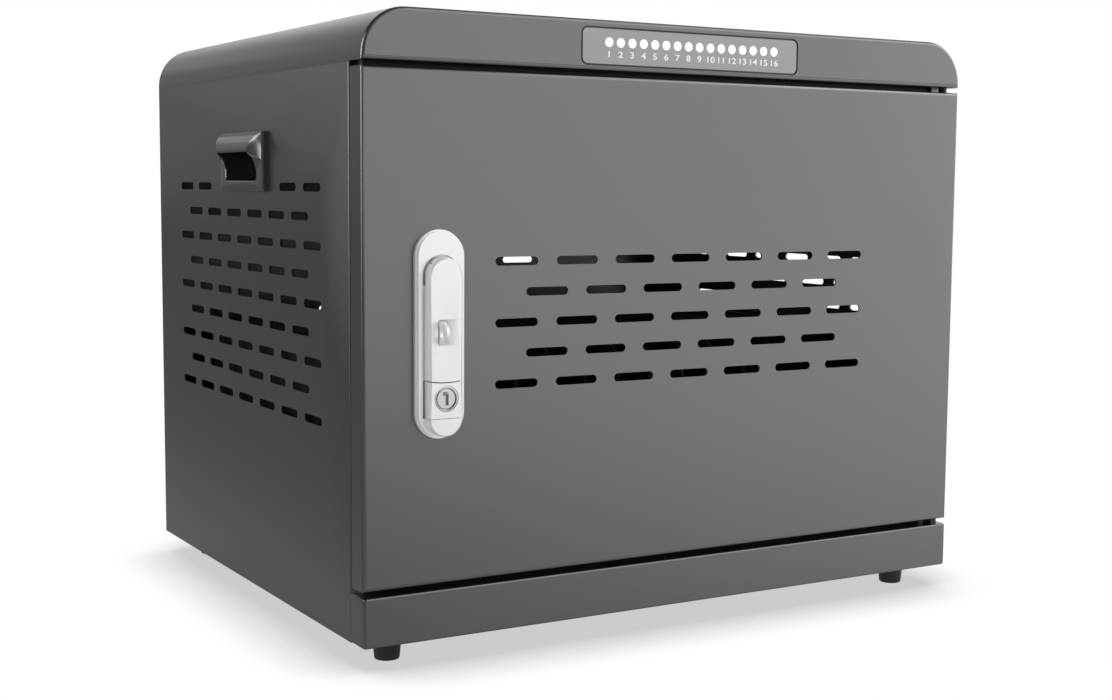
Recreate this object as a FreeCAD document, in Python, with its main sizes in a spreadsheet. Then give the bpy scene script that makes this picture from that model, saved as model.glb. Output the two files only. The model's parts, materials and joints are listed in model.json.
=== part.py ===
import FreeCAD, Part
import Sketcher
import math
import os

# Charging cabinet for sixteen handheld devices, millimetres, +Z up, front towards -Y.
# The origin is the centre of the overall box, on the plane that the feet stand on.

SIZES = {
    # Sheet-metal body
    "body_width": 480.0,
    "body_depth": 400.0,
    "sheet": 1.2,
    "foot_height": 16.0,
    "plinth_height": 31.5,
    "plinth_gap": 4.0,
    "door_height": 319.5,
    "fascia_gap": 3.5,
    "fascia_height": 32.5,
    "corner_radius": 30.0,
    "fold_radius": 2.4,
    "edge_radius": 1.8,
    "edge_bevel": 1.0,
    "notch_depth": 19.5,
    "hem_height": 12.0,
    # Front frame behind the door
    "frame_setback": 22.0,
    "frame_rail": 25.0,
    "frame_lip": 8.0,
    # Door and its pivots
    "door_depth": 17.5,
    "door_flange": 11.0,
    "axis_inset": 8.0,
    "axis_depth": 9.0,
    "pin_radius": 3.0,
    "pin_reach": 9.5,
    "collar_radius": 5.0,
    "running_fit": 0.05,
    "lift_clearance": 0.1,
    "channel_width": 24.0,
    "channel_depth": 9.0,
    "channel_margin": 24.0,
    "bumper_size": 8.0,
    "bumper_margin": 30.0,
    "bumper_clearance": 0.3,
    # Ventilation slots in the door and the back
    "vent_length": 30.9,
    "vent_width": 5.5,
    "vent_pitch": 44.6,
    "vent_row_pitch": 19.5,
    "vent_centre_height": 198.0,
    # Ventilation slots in the sides
    "side_vent_length": 29.3,
    "side_vent_width": 5.5,
    "side_vent_pitch": 42.0,
    "side_vent_row_pitch": 18.7,
    "side_vent_top": 282.4,
    "side_vent_centre": 205.0,
    # Indicator window
    "window_width": 174.0,
    "window_height": 23.4,
    "window_radius": 3.8,
    "window_outline": 0.7,
    "window_centre_height": 15.5,
    "led_radius": 3.1,
    "led_pitch": 8.9,
    "led_height": 2.7,
    "led_dome": 0.4,
    "led_board_margin": 4.0,
    "led_board_thickness": 1.6,
    # Side handles
    "handle_length": 86.0,
    "handle_height": 41.0,
    "handle_flange": 4.0,
    "handle_centre_height": 299.5,
    "handle_centre_depth": 200.0,
    "handle_side_strip": 12.0,
    "handle_bottom_strip": 7.4,
    "handle_lip_reach": 6.8,
    "handle_lip_drop": 13.4,
    "handle_lip_thickness": 1.6,
    "handle_wall": 2.0,
    "handle_cup_depth": 27.0,
    "handle_end_drop": 16.8,
    "handle_bevel": 1.2,
    # Lock dish
    "lock_inset": 50.4,
    "dish_width": 33.0,
    "dish_length": 129.3,
    "dish_centre_height": 192.75,
    "dish_height": 5.3,
    "dish_step": 2.4,
    "dish_inset": 0.9,
    "cap_bevel": 0.8,
    "groove_width": 1.5,
    "groove_depth": 1.4,
    "recess_depth": 3.0,
    "cap_height": 7.0,
    "cap_margin": 2.2,
    # Lever
    "column_width": 22.5,
    "lever_top_height": 240.7,
    "lever_end_height": 164.3,
    "lever_face_height": 12.3,
    "lever_clearance": 0.3,
    "lever_bevel": 1.3,
    "button_gap": 0.7,
    "lever_slot_width": 10.0,
    "lever_wall": 1.5,
    "lever_slot_tail": 5.5,
    "lever_pin_drop": 4.3,
    "lever_pin_height": 7.9,
    "lever_pin_radius": 1.5,
    "lug_width": 9.4,
    "lug_radius": 2.6,
    "lug_tail": 4.5,
    "head_radius": 6.0,
    "head_gap": 0.1,
    # Padlock eye in the lever
    "eye_window_width": 13.2,
    "eye_window_height": 16.1,
    "eye_window_offset": 1.0,
    "eye_window_centre_height": 194.7,
    "eye_floor": 1.5,
    "eye_gap": 0.4,
    "eye_thickness": 2.0,
    "eye_height": 13.5,
    "eye_reach": 10.9,
    "eye_hole_radius": 3.5,
    "eye_hole_height": 17.0,
    # Push button and key cylinder
    "button_clearance": 0.3,
    "well_depth": 3.4,
    "stem_wall": 0.9,
    "stem_depth": 14.0,
    "cylinder_radius": 8.25,
    "cylinder_height": 154.0,
    "cylinder_setback": 0.3,
    "plug_radius": 6.5,
    "plug_setback": 0.5,
    "keyway_width": 2.8,
    "keyway_height": 7.1,
    "keyway_depth": 9.0,
    # Lock case, spindle and cam
    "case_width": 30.0,
    "case_length": 116.0,
    "case_depth": 22.8,
    "case_bevel": 3.0,
    "case_clearance": 0.5,
    "spigot_margin": 3.0,
    "spindle_radius": 4.0,
    "cam_gap": 7.8,
    "cam_thickness": 3.0,
    "cam_width": 16.0,
    "cam_reach": 34.0,
    "cam_fit": 0.05,
    "nut_radius": 6.0,
    "nut_height": 5.0,
    "lock_screw_head_radius": 3.6,
    "lock_screw_head": 2.4,
    "lock_screw_inset": 4.6,
    # Feet
    "foot_inset": 28.5,
    "foot_top_radius": 9.4,
    "foot_bottom_radius": 8.0,
    # Shelf and dividers
    "shelf_height": 40.0,
    "shelf_front": 45.0,
    "shelf_depth": 300.0,
    "bay_pitch": 27.0,
    "divider_thickness": 2.0,
    "divider_height": 140.0,
    "divider_bevel": 14.0,
    "shelf_margin": 8.0,
    # Electronics tray under the top
    "tray_floor_height": 302.0,
    "tray_front": 60.0,
    "tray_depth": 210.0,
    "tray_half_width": 190.0,
    "supply_length": 190.0,
    "supply_depth": 90.0,
    "supply_height": 38.0,
    "terminal_length": 60.0,
    "terminal_depth": 14.0,
    "terminal_height": 16.0,
    "board_length": 330.0,
    "board_depth": 60.0,
    "board_thickness": 1.6,
    "board_margin": 8.0,
    "standoff_height": 8.0,
    "standoff_width": 6.0,
    "standoff_inset": 8.0,
    "header_width": 12.0,
    "header_depth": 9.0,
    "header_height": 7.0,
    "header_pitch": 20.0,
    # Back
    "angle_leg": 12.0,
    "angle_margin": 30.0,
    "back_screw_pitch": 120.0,
    "screw_head_radius": 3.6,
    "screw_head": 2.0,
    "inlet_height": 45.0,
    "inlet_offset": 150.0,
    "inlet_width": 28.0,
    "inlet_tall": 21.0,
    "inlet_flange": 4.0,
    "inlet_flange_thickness": 2.0,
    "inlet_depth": 17.0,
    "inlet_wall": 1.8,
    "inlet_bevel": 3.0,
    "pin_blade_width": 2.0,
    "pin_blade_height": 4.0,
    "pin_blade_length": 12.0,
    "pin_spread": 7.0,
    "pin_rise": 1.0,
    "earth_rise": 5.6,
    "switch_offset": 200.0,
    "switch_width": 13.0,
    "switch_tall": 19.0,
    "switch_rim": 2.6,
    "switch_rim_thickness": 1.6,
    "switch_depth": 14.0,
    "switch_wall": 1.4,
    "rocker_radius": 8.6,
    "rocker_pivot_depth": 3.6,
    "rocker_clearance": 0.3,
    "axle_radius": 1.2,
    # Construction
    "overrun": 2.0,
    "edge_slack": 0.01,
}

RAISED_SHARE = math.cos(math.radians(45.0))
PRESSED_DEPTH_SHARE = math.cos(math.radians(62.0))
PRESSED_REACH_SHARE = math.sin(math.radians(62.0))
SLOT_END_SHARE = 1.0 - math.tan(math.radians(22.5))
BAYS = 16
LEDS = 16
LED_SIDES = 8
FOOT_SIDES = 16
TURNED_SIDES = 32
HEX = 6


class Size:
    """A length that knows its value and the formula that binds it to the sheet."""

    def __init__(self, value, formula):
        self.value = value
        self.formula = formula

    def __add__(self, other):
        other = size_of(other)
        return Size(self.value + other.value, f"({self.formula} + {other.formula})")

    def __sub__(self, other):
        other = size_of(other)
        return Size(self.value - other.value, f"({self.formula} - {other.formula})")

    def __mul__(self, other):
        other = size_of(other)
        return Size(self.value * other.value, f"({self.formula} * {other.formula})")

    def __truediv__(self, other):
        other = size_of(other)
        return Size(self.value / other.value, f"({self.formula} / {other.formula})")

    def __neg__(self):
        return Size(-self.value, f"(0 - {self.formula})")


def size_of(number):
    return number if isinstance(number, Size) else Size(float(number), f"{number}")


class Sheet:
    """The named sizes of the spreadsheet, each as a Size."""

    def __init__(self, document):
        table = document.addObject("Spreadsheet::Sheet", "Sizes")
        for row, (name, number) in enumerate(SIZES.items(), start=1):
            table.set(f"A{row}", name)
            table.set(f"B{row}", str(number))
            table.setAlias(f"B{row}", name)
        document.recompute()

    def __getattr__(self, name):
        return Size(SIZES[name], f"Sizes.{name}")


doc = FreeCAD.newDocument("ChargingCabinet")
s = Sheet(doc)
ZERO = Size(0.0, "0")


def bind(thing, path, size):
    thing.setExpression(path, size_of(size).formula)


def place(thing, x=ZERO, y=ZERO, z=ZERO):
    for name, size in (("x", x), ("y", y), ("z", z)):
        bind(thing, f"Placement.Base.{name}", size)


def new_body(name, x=ZERO, y=ZERO, z=ZERO, several=False):
    body = doc.addObject("PartDesign::Body", name)
    body.Label = name
    body.AllowCompound = several
    place(body, x, y, z)
    return body


def origin_plane(body, role):
    return next(item for item in body.Origin.OriginFeatures if item.Role == role)


def new_sketch(body, plane, offset=ZERO):
    sketch = body.newObject("Sketcher::SketchObject", body.Name + "_sketch")
    sketch.AttachmentSupport = [(origin_plane(body, plane + "_Plane"), "")]
    sketch.MapMode = "FlatFace"
    bind(sketch, "AttachmentOffset.Base.z", offset)
    return sketch


def fix(sketch, kind, *reference, size):
    index = sketch.addConstraint(Sketcher.Constraint(kind, *reference, size.value))
    sketch.setExpression(f"Constraints[{index}]", size.formula)


def fix_point(sketch, item, end, x, y):
    fix(sketch, "DistanceX", -1, 1, item, end, size=size_of(x))
    fix(sketch, "DistanceY", -1, 1, item, end, size=size_of(y))


def circle(sketch, x, y, radius):
    x, y = size_of(x), size_of(y)
    centre = FreeCAD.Vector(x.value, y.value, 0)
    index = sketch.addGeometry(Part.Circle(centre, FreeCAD.Vector(0, 0, 1), radius.value))
    fix_point(sketch, index, 3, x, y)
    fix(sketch, "Radius", index, size=radius)


def arc_between(centre, radius, start, turn):
    """An arc of a quarter or half turn, from the start angle, always counter-clockwise."""
    ring = Part.Circle(FreeCAD.Vector(*centre, 0), FreeCAD.Vector(0, 0, 1), radius)
    return Part.ArcOfCircle(ring, start, start + turn)


def outline(sketch, points):
    """A closed outline of level and upright sides. A point with a third size is rounded."""
    count = len(points)
    places = [(size_of(p[0]), size_of(p[1])) for p in points]
    lines, arcs = [], {}
    ends = []
    for number in range(count):
        x, y = places[number]
        before, after = places[number - 1], places[(number + 1) % count]
        if len(points[number]) < 3:
            ends.append(((x.value, y.value), (x.value, y.value)))
            continue
        radius = points[number][2]
        into = (math.copysign(1, before[0].value - x.value) if before[0].value != x.value else 0,
                math.copysign(1, before[1].value - y.value) if before[1].value != y.value else 0)
        out = (math.copysign(1, after[0].value - x.value) if after[0].value != x.value else 0,
               math.copysign(1, after[1].value - y.value) if after[1].value != y.value else 0)
        sign_x, sign_y = into[0] + out[0], into[1] + out[1]
        centre_x = x + radius * int(sign_x)
        centre_y = y + radius * int(sign_y)
        first = (x.value + into[0] * radius.value, y.value + into[1] * radius.value)
        last = (x.value + out[0] * radius.value, y.value + out[1] * radius.value)
        angle_first = math.atan2(first[1] - centre_y.value, first[0] - centre_x.value)
        angle_last = math.atan2(last[1] - centre_y.value, last[0] - centre_x.value)
        turn = (angle_last - angle_first) % (2 * math.pi)
        ccw = turn < math.pi
        start = angle_first if ccw else angle_last
        index = sketch.addGeometry(arc_between((centre_x.value, centre_y.value), radius.value,
                                               start, math.pi / 2))
        fix_point(sketch, index, 3, centre_x, centre_y)
        fix(sketch, "Radius", index, size=radius)
        arcs[number] = (index, 1 if ccw else 2, 2 if ccw else 1)
        ends.append((first, last))
    for number in range(count):
        after = (number + 1) % count
        begin, end = ends[number][1], ends[after][0]
        line = sketch.addGeometry(Part.LineSegment(FreeCAD.Vector(*begin, 0),
                                                   FreeCAD.Vector(*end, 0)))
        lines.append(line)
    for number in range(count):
        line, previous = lines[number], lines[number - 1]
        if number in arcs:
            arc, start, finish = arcs[number]
            sketch.addConstraint(Sketcher.Constraint("Tangent", previous, 2, arc, start))
            sketch.addConstraint(Sketcher.Constraint("Tangent", arc, finish, line, 1))
        else:
            sketch.addConstraint(Sketcher.Constraint("Coincident", previous, 2, line, 1))
            fix_point(sketch, line, 1, *places[number])


def polygon(sketch, points):
    """A closed outline with sharp corners and sides at any angle."""
    places = [(size_of(x), size_of(y)) for x, y in points]
    vectors = [FreeCAD.Vector(x.value, y.value, 0) for x, y in places]
    lines = [sketch.addGeometry(Part.LineSegment(vectors[number], vectors[(number + 1) % len(vectors)]))
             for number in range(len(vectors))]
    for number, line in enumerate(lines):
        sketch.addConstraint(Sketcher.Constraint("Coincident", lines[number - 1], 2, line, 1))
        fix_point(sketch, line, 1, *places[number])


def rectangle(sketch, x0, y0, x1, y1, radius=None):
    corner = () if radius is None else (radius,)
    outline(sketch, [(x0, y0) + corner, (x1, y0) + corner, (x1, y1) + corner, (x0, y1) + corner])


def oblong(sketch, x, y, length, width, upright=False):
    """A slot with half-round ends."""
    x, y = size_of(x), size_of(y)
    radius = width / 2
    half = length / 2 - radius
    centres = ((x, y - half), (x, y + half)) if upright else ((x - half, y), (x + half, y))
    angles = (math.pi, 0.0) if upright else (math.pi / 2, -math.pi / 2)
    arcs = []
    for (cx, cy), angle in zip(centres, angles):
        arc = sketch.addGeometry(arc_between((cx.value, cy.value), radius.value, angle, math.pi))
        fix_point(sketch, arc, 3, cx, cy)
        arcs.append(arc)
    ends = []
    for (cx, cy), angle in zip(centres, angles):
        ends.append([FreeCAD.Vector(cx.value + radius.value * math.cos(a),
                                    cy.value + radius.value * math.sin(a), 0)
                     for a in (angle, angle + math.pi)])
    for first, second in ((0, 1), (1, 0)):
        line = sketch.addGeometry(Part.LineSegment(ends[first][1], ends[second][0]))
        sketch.addConstraint(Sketcher.Constraint("Tangent", arcs[first], 2, line, 1))
        sketch.addConstraint(Sketcher.Constraint("Tangent", line, 2, arcs[second], 1))
    fix(sketch, "Radius", arcs[0], size=radius)
    sketch.addConstraint(Sketcher.Constraint("Equal", arcs[0], arcs[1]))


def cornered(sketch, x0, y0, x1, y1, leg):
    """A rectangle with its four corners cut at 45 degrees."""
    polygon(sketch, [(x0 + leg, y0), (x1 - leg, y0), (x1, y0 + leg), (x1, y1 - leg),
                     (x1 - leg, y1), (x0 + leg, y1), (x0, y1 - leg), (x0, y0 + leg)])


def slot(sketch, x, y, length, width):
    """A slot whose ends have three flats each."""
    x, y = size_of(x), size_of(y)
    cornered(sketch, x - length / 2, y - width / 2, x + length / 2, y + width / 2,
             width / 2 * SLOT_END_SHARE)


def regular(sketch, radius, sides, rise=ZERO):
    """A regular polygon round a point on the sketch's upright axis."""
    angles = [2 * math.pi * number / sides for number in range(sides)]
    polygon(sketch, [(radius * math.cos(angle), radius * math.sin(angle) + rise)
                     for angle in angles])


def feature(body, kind, sketch, length=None, back=False):
    """A pad or a pocket. With no length, a pocket goes through everything."""
    made = body.newObject("PartDesign::" + kind, f"{body.Name}_{kind.lower()}")
    made.Profile = sketch
    made.Reversed = back
    if length is None:
        made.Type = "ThroughAll"
    else:
        bind(made, "Length", length)
    sketch.Visibility = False
    return made


def pad(body, sketch, length, back=False):
    return feature(body, "Pad", sketch, length, back)


def pocket(body, sketch, length=None, back=False):
    before = volume(body)
    made = feature(body, "Pocket", sketch, length, back)
    if not volume(body) < before:
        raise RuntimeError(f"{body.Label}: the pocket {made.Name} cuts nothing")
    return made


def volume(body):
    doc.recompute()
    failed = [item.Name for item in body.Group if {"Invalid", "Error"} & set(item.State)]
    if failed:
        raise RuntimeError(f"{body.Label}: {failed} failed")
    return body.Shape.Volume


def loft(body, lower, upper):
    made = body.newObject("PartDesign::AdditiveLoft", body.Name + "_loft")
    made.Profile = lower
    made.Sections = [upper]
    made.Ruled = True
    doc.recompute()
    return made


def repeat(body, originals, sketch, axis, pitch, count, axis_2=None, pitch_2=None, count_2=1):
    """Copies of the features along one or two axes of the sketch, each at its pitch."""
    doc.recompute()
    made = body.newObject("PartDesign::LinearPattern", body.Name + "_pattern")
    made.Originals = originals
    made.Direction = (sketch, [axis])
    made.Occurrences = count
    bind(made, "Length", pitch * (count - 1))
    if axis_2:
        made.Direction2 = (sketch, [axis_2])
        made.Occurrences2 = count_2
        bind(made, "Length2", pitch_2 * (count_2 - 1))
    body.Tip = made
    doc.recompute()
    return made


def pattern(body, original, *rows):
    """Copies of one feature along the axes of its own sketch."""
    return repeat(body, [original], original.Profile[0], *rows)


def round_edges(body, radius, wanted, kind="Fillet"):
    """A fillet or chamfer on each edge of the body that wanted() picks."""
    doc.recompute()
    base = body.Tip
    names = [f"Edge{number}" for number, edge in enumerate(base.Shape.Edges, start=1)
             if wanted(edge)]
    made = body.newObject("PartDesign::" + kind, f"{body.Name}_{kind.lower()}")
    made.Base = (base, names)
    bind(made, "Radius" if kind == "Fillet" else "Size", radius)
    doc.recompute()
    return made


def at(value, size, slack=s.edge_slack):
    return abs(value - size_of(size).value) < slack.value


def box_of(edge):
    return edge.BoundBox


# Shared places, worked out from the sizes
half_width = s.body_width / 2
inner_half = half_width - s.sheet
floor_z = s.foot_height
plinth_top = floor_z + s.plinth_height
door_bottom = plinth_top + s.plinth_gap
door_top = door_bottom + s.door_height
fascia_bottom = door_top + s.fascia_gap
top_z = fascia_bottom + s.fascia_height
lock_reach = s.lever_face_height + s.eye_reach
rear_reach = s.rocker_radius * RAISED_SHARE - s.rocker_pivot_depth
front_y = (lock_reach - rear_reach - s.body_depth) / 2
back_y = front_y + s.body_depth
frame_y = front_y + s.frame_setback
opening_half = inner_half - s.frame_rail
opening_bottom = plinth_top + s.hem_height
opening_top = fascia_bottom - s.frame_rail
hinge_x = half_width - s.axis_inset
hinge_y = front_y + s.axis_depth
lock_x = s.lock_inset - half_width
spindle_z = floor_z + s.lever_top_height - s.column_width / 2
lever_pin_z = floor_z + s.lever_top_height - s.lever_pin_drop
cylinder_z = floor_z + s.cylinder_height
case_back = s.sheet + s.case_depth
shelf_top = floor_z + s.shelf_height
tray_floor = floor_z + s.tray_floor_height


def make_fascia():
    """Rounded pan over the door, with the indicator window and the flange of the upper pivot."""
    body = new_body("front_fascia", ZERO, front_y, fascia_bottom)
    sketch = new_sketch(body, "XZ")
    outline(sketch, [(-half_width, ZERO), (half_width, ZERO),
                     (half_width, s.fascia_height, s.corner_radius),
                     (-half_width, s.fascia_height, s.corner_radius)])
    pad(body, sketch, s.notch_depth, back=True)
    round_edges(body, s.edge_bevel, lambda e: at(box_of(e).YMax, 0), "Chamfer")
    inner = new_sketch(body, "XZ", -s.sheet)
    outline(inner, [(-inner_half, s.sheet), (inner_half, s.sheet),
                    (inner_half, s.fascia_height - s.sheet, s.corner_radius - s.sheet),
                    (-inner_half, s.fascia_height - s.sheet, s.corner_radius - s.sheet)])
    pocket(body, inner, s.notch_depth)
    flange = new_sketch(body, "XY")
    rectangle(flange, -inner_half, s.notch_depth - s.overrun, inner_half, s.frame_setback)
    pad(body, flange, s.sheet)
    window = new_sketch(body, "XZ")
    half = s.window_width / 2 + s.window_outline
    tall = s.window_height / 2 + s.window_outline
    rectangle(window, -half, s.window_centre_height - tall, half, s.window_centre_height + tall,
              s.window_radius + s.window_outline)
    pocket(body, window, s.sheet + s.overrun)
    return body


def make_top_cover():
    """Top sheet with its two large bends."""
    body = new_body("top_cover", ZERO, front_y + s.notch_depth, fascia_bottom)
    sketch = new_sketch(body, "XZ")
    inner_radius = s.corner_radius - s.sheet
    outline(sketch, [(-half_width, ZERO),
                     (-half_width, s.fascia_height, s.corner_radius),
                     (half_width, s.fascia_height, s.corner_radius),
                     (half_width, ZERO),
                     (inner_half, ZERO),
                     (inner_half, s.fascia_height - s.sheet, inner_radius),
                     (-inner_half, s.fascia_height - s.sheet, inner_radius),
                     (-inner_half, ZERO)])
    pad(body, sketch, s.body_depth - s.notch_depth, back=True)
    return body


def make_side_panel(name, x):
    """Flat side sheet with nine rows of slots and the cut-out for the handle."""
    body = new_body(name, x, front_y + s.notch_depth, floor_z)
    height = fascia_bottom - floor_z
    sketch = new_sketch(body, "YZ")
    rectangle(sketch, ZERO, ZERO, s.body_depth - s.notch_depth, height)
    pad(body, sketch, s.sheet)
    centre = s.side_vent_centre - s.notch_depth
    long_row, rows = 7, 9
    lowest = s.side_vent_top - s.side_vent_row_pitch * (rows - 1)
    for wide, base, tall in ((long_row, lowest, 4), (long_row - 1, lowest + s.side_vent_row_pitch, 4)):
        slots = new_sketch(body, "YZ")
        slot(slots, centre - s.side_vent_pitch * ((wide - 1) / 2), base,
             s.side_vent_length, s.side_vent_width)
        cut = pocket(body, slots, s.sheet + s.overrun, back=True)
        pattern(body, cut, "H_Axis", s.side_vent_pitch, wide, "V_Axis", s.side_vent_row_pitch * 2, tall)
    for side in (-1, 1):
        slots = new_sketch(body, "YZ")
        slot(slots, centre + s.side_vent_pitch * (side * 3 - (side + 1) / 2), s.side_vent_top,
             s.side_vent_length, s.side_vent_width)
        cut = pocket(body, slots, s.sheet + s.overrun, back=True)
        pattern(body, cut, "H_Axis", s.side_vent_pitch, 2)
    cup = new_sketch(body, "YZ")
    half = handle_cup_half
    middle = s.handle_centre_depth - s.notch_depth
    rectangle(cup, middle - half, s.handle_centre_height + handle_cup_bottom,
              middle + half, s.handle_centre_height + handle_cup_top)
    pocket(body, cup, s.sheet + s.overrun, back=True)
    return body


handle_half = s.handle_length / 2
handle_opening_half = handle_half - s.handle_side_strip
handle_cup_half = handle_opening_half + s.handle_wall
handle_opening_bottom = s.handle_bottom_strip - s.handle_height / 2
handle_cup_bottom = handle_opening_bottom - s.handle_wall
handle_cup_top = s.handle_height / 2 - s.handle_wall * 2


def wedge(name, x0, x1, y0, y1, z0, z1, top_x0, top_x1, top_z0, top_z1):
    made = doc.addObject("Part::Wedge", name)
    pairs = (("Xmin", x0), ("Xmax", x1), ("Ymin", y0), ("Ymax", y1), ("Zmin", z0), ("Zmax", z1),
             ("X2min", top_x0), ("X2max", top_x1), ("Z2min", top_z0), ("Z2max", top_z1))
    for path, size in pairs:
        bind(made, path, size)
    return made


def cut(name, base, tool):
    made = doc.addObject("Part::Cut", name)
    made.Base = base
    made.Tool = tool
    return made


def make_handle(name, side):
    """Hooded pull: a flange on the panel, a rounded hood over the opening and a cup behind it.

    It is made with +Y outwards, +X along the panel and +Z up.
    """
    tall = s.handle_height / 2
    top = tall - s.handle_bevel
    lip_z = tall - s.handle_lip_drop
    reach = s.handle_flange + s.handle_lip_reach
    body = doc.addObject("PartDesign::Body", name + "_moulding")
    flange = new_sketch(body, "XZ")
    rectangle(flange, -handle_half, -tall, handle_half, tall)
    pad(body, flange, s.handle_flange, back=True)
    round_edges(body, s.handle_bevel, lambda e: at(box_of(e).YMin, s.handle_flange), "Chamfer")
    hood = new_sketch(body, "YZ", s.handle_bevel - handle_half)
    hood_profile(hood, top, lip_z, reach)
    pad(body, hood, (handle_half - s.handle_bevel) * 2)
    for end in (-1, 1):
        slope = new_sketch(body, "XY", tall)
        outer = (handle_half + s.overrun) * end
        polygon(slope, [((handle_half - s.handle_bevel) * end, s.handle_flange),
                        (handle_opening_half * end, reach),
                        (handle_opening_half * end, reach + s.overrun),
                        (outer, reach + s.overrun), (outer, s.handle_flange)])
        pocket(body, slope, s.handle_height)
    cup = new_sketch(body, "XZ")
    rectangle(cup, -handle_cup_half, handle_cup_bottom, handle_cup_half, handle_cup_top)
    pad(body, cup, s.handle_cup_depth)
    inner_top = handle_cup_top - s.handle_wall
    mouth = wedge(name + "_mouth", -handle_opening_half, handle_opening_half,
                  -s.handle_cup_depth + s.handle_wall, reach,
                  handle_opening_bottom, inner_top,
                  s.handle_wall - handle_opening_half, handle_opening_half - s.handle_wall,
                  handle_opening_bottom, lip_z - s.handle_lip_thickness)
    made = cut(name, body, mouth)
    made.Label = name
    turn = FreeCAD.Rotation(FreeCAD.Vector(0, 0, 1), 90.0 * side * -1)
    made.Placement = FreeCAD.Placement(FreeCAD.Vector(0, 0, 0), turn)
    place(made, half_width * side, front_y + s.handle_centre_depth,
          floor_z + s.handle_centre_height)
    return made


def hood_profile(sketch, top, lip_z, reach):
    """Side view of the hood: an arc from the flange's top that meets the lip upright."""
    rise = top - lip_z
    radius = (s.handle_lip_reach * s.handle_lip_reach + rise * rise) / (s.handle_lip_reach * 2)
    centre = reach - radius
    turn = math.atan2(rise.value, (s.handle_flange - centre).value)
    arc = sketch.addGeometry(arc_between((centre.value, lip_z.value), radius.value, 0.0, turn))
    fix_point(sketch, arc, 3, centre, lip_z)
    fix(sketch, "Radius", arc, size=radius)
    low = lip_z - s.handle_lip_thickness
    corners = [(s.handle_flange, top), (ZERO, top), (ZERO, s.handle_height / 2 - s.handle_end_drop),
               (s.handle_flange, s.handle_height / 2 - s.handle_end_drop), (reach, low),
               (reach, lip_z)]
    vectors = [FreeCAD.Vector(y.value, z.value, 0) for y, z in corners]
    lines = [sketch.addGeometry(Part.LineSegment(vectors[n], vectors[n + 1]))
             for n in range(len(corners) - 1)]
    sketch.addConstraint(Sketcher.Constraint("Coincident", arc, 2, lines[0], 1))
    sketch.addConstraint(Sketcher.Constraint("Coincident", lines[-1], 2, arc, 1))
    for number in range(1, len(lines)):
        sketch.addConstraint(Sketcher.Constraint("Coincident", lines[number - 1], 2,
                                                 lines[number], 1))
        fix_point(sketch, lines[number], 1, *corners[number])
    fix(sketch, "DistanceY", -1, 1, lines[0], 1, size=top)


def make_plinth():
    """Front kick panel with folded ends and a top flange that carries the lower pivot."""
    body = new_body("plinth", ZERO, front_y, floor_z)
    sketch = new_sketch(body, "XY")
    outline(sketch, [(-half_width, ZERO, s.fold_radius), (half_width, ZERO, s.fold_radius),
                     (half_width, s.notch_depth), (-half_width, s.notch_depth)])
    pad(body, sketch, s.plinth_height)
    round_edges(body, s.edge_bevel,
                lambda e: at(box_of(e).YMax, 0) and at(box_of(e).ZMin, s.plinth_height)
                or at(box_of(e).YMax, 0) and at(box_of(e).ZMax, 0), "Chamfer")
    inner = new_sketch(body, "XY")
    rectangle(inner, -inner_half, s.sheet, inner_half, s.notch_depth + s.overrun)
    pocket(body, inner, s.plinth_height - s.sheet, back=True)
    flange = new_sketch(body, "XY", s.plinth_height - s.sheet)
    rectangle(flange, -inner_half, s.notch_depth - s.overrun, inner_half, s.frame_setback)
    pad(body, flange, s.sheet)
    return body


def make_base_pan():
    """Shallow tray that closes the bottom and carries the feet."""
    body = new_body("base_pan", ZERO, front_y + s.sheet, floor_z)
    depth = s.body_depth - s.sheet * 2
    sketch = new_sketch(body, "XY")
    rectangle(sketch, -inner_half, ZERO, inner_half, depth)
    pad(body, sketch, s.hem_height)
    inner = new_sketch(body, "XY", s.sheet)
    rectangle(inner, s.sheet - inner_half, s.sheet, inner_half - s.sheet, depth - s.sheet)
    pocket(body, inner, s.hem_height, back=True)
    return body


def make_feet():
    """Four tapered rubber feet."""
    body = new_body("feet", s.foot_inset - half_width, front_y + s.foot_inset, ZERO, several=True)
    under = new_sketch(body, "XY")
    regular(under, s.foot_bottom_radius, FOOT_SIDES)
    over = new_sketch(body, "XY", s.foot_height)
    regular(over, s.foot_top_radius, FOOT_SIDES)
    first = loft(body, under, over)
    repeat(body, [first], under, "H_Axis", s.body_width - s.foot_inset * 2, 2,
           "V_Axis", s.body_depth - s.foot_inset * 2, 2)
    return body


def make_back_panel():
    """Rear sheet with five rows of slots and the cut-outs for the inlet and the switch."""
    body = new_body("back_panel", ZERO, back_y - s.sheet, floor_z)
    height = top_z - floor_z - s.sheet
    sketch = new_sketch(body, "XZ")
    inner_radius = s.corner_radius - s.sheet
    outline(sketch, [(-inner_half, ZERO), (inner_half, ZERO),
                     (inner_half, height, inner_radius), (-inner_half, height, inner_radius)])
    pad(body, sketch, s.sheet, back=True)
    for wide, tall in ((5, 2), (4, 1)):
        slots = new_sketch(body, "XZ")
        slot(slots, -s.vent_pitch * ((wide - 1) / 2),
             s.vent_centre_height - s.vent_row_pitch * (tall - 1), s.vent_length, s.vent_width)
        drilled = pocket(body, slots, s.sheet + s.overrun)
        pattern(body, drilled, "H_Axis", s.vent_pitch, wide, "V_Axis", s.vent_row_pitch * 2, tall)
    for offset, width, tall in ((s.inlet_offset, s.inlet_width, s.inlet_tall),
                                (s.switch_offset, s.switch_width, s.switch_tall)):
        window = new_sketch(body, "XZ")
        rectangle(window, offset - width / 2, s.inlet_height - tall / 2,
                  offset + width / 2, s.inlet_height + tall / 2)
        pocket(body, window, s.sheet + s.overrun)
    return body


back_screw_first = s.angle_margin + s.angle_leg


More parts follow.
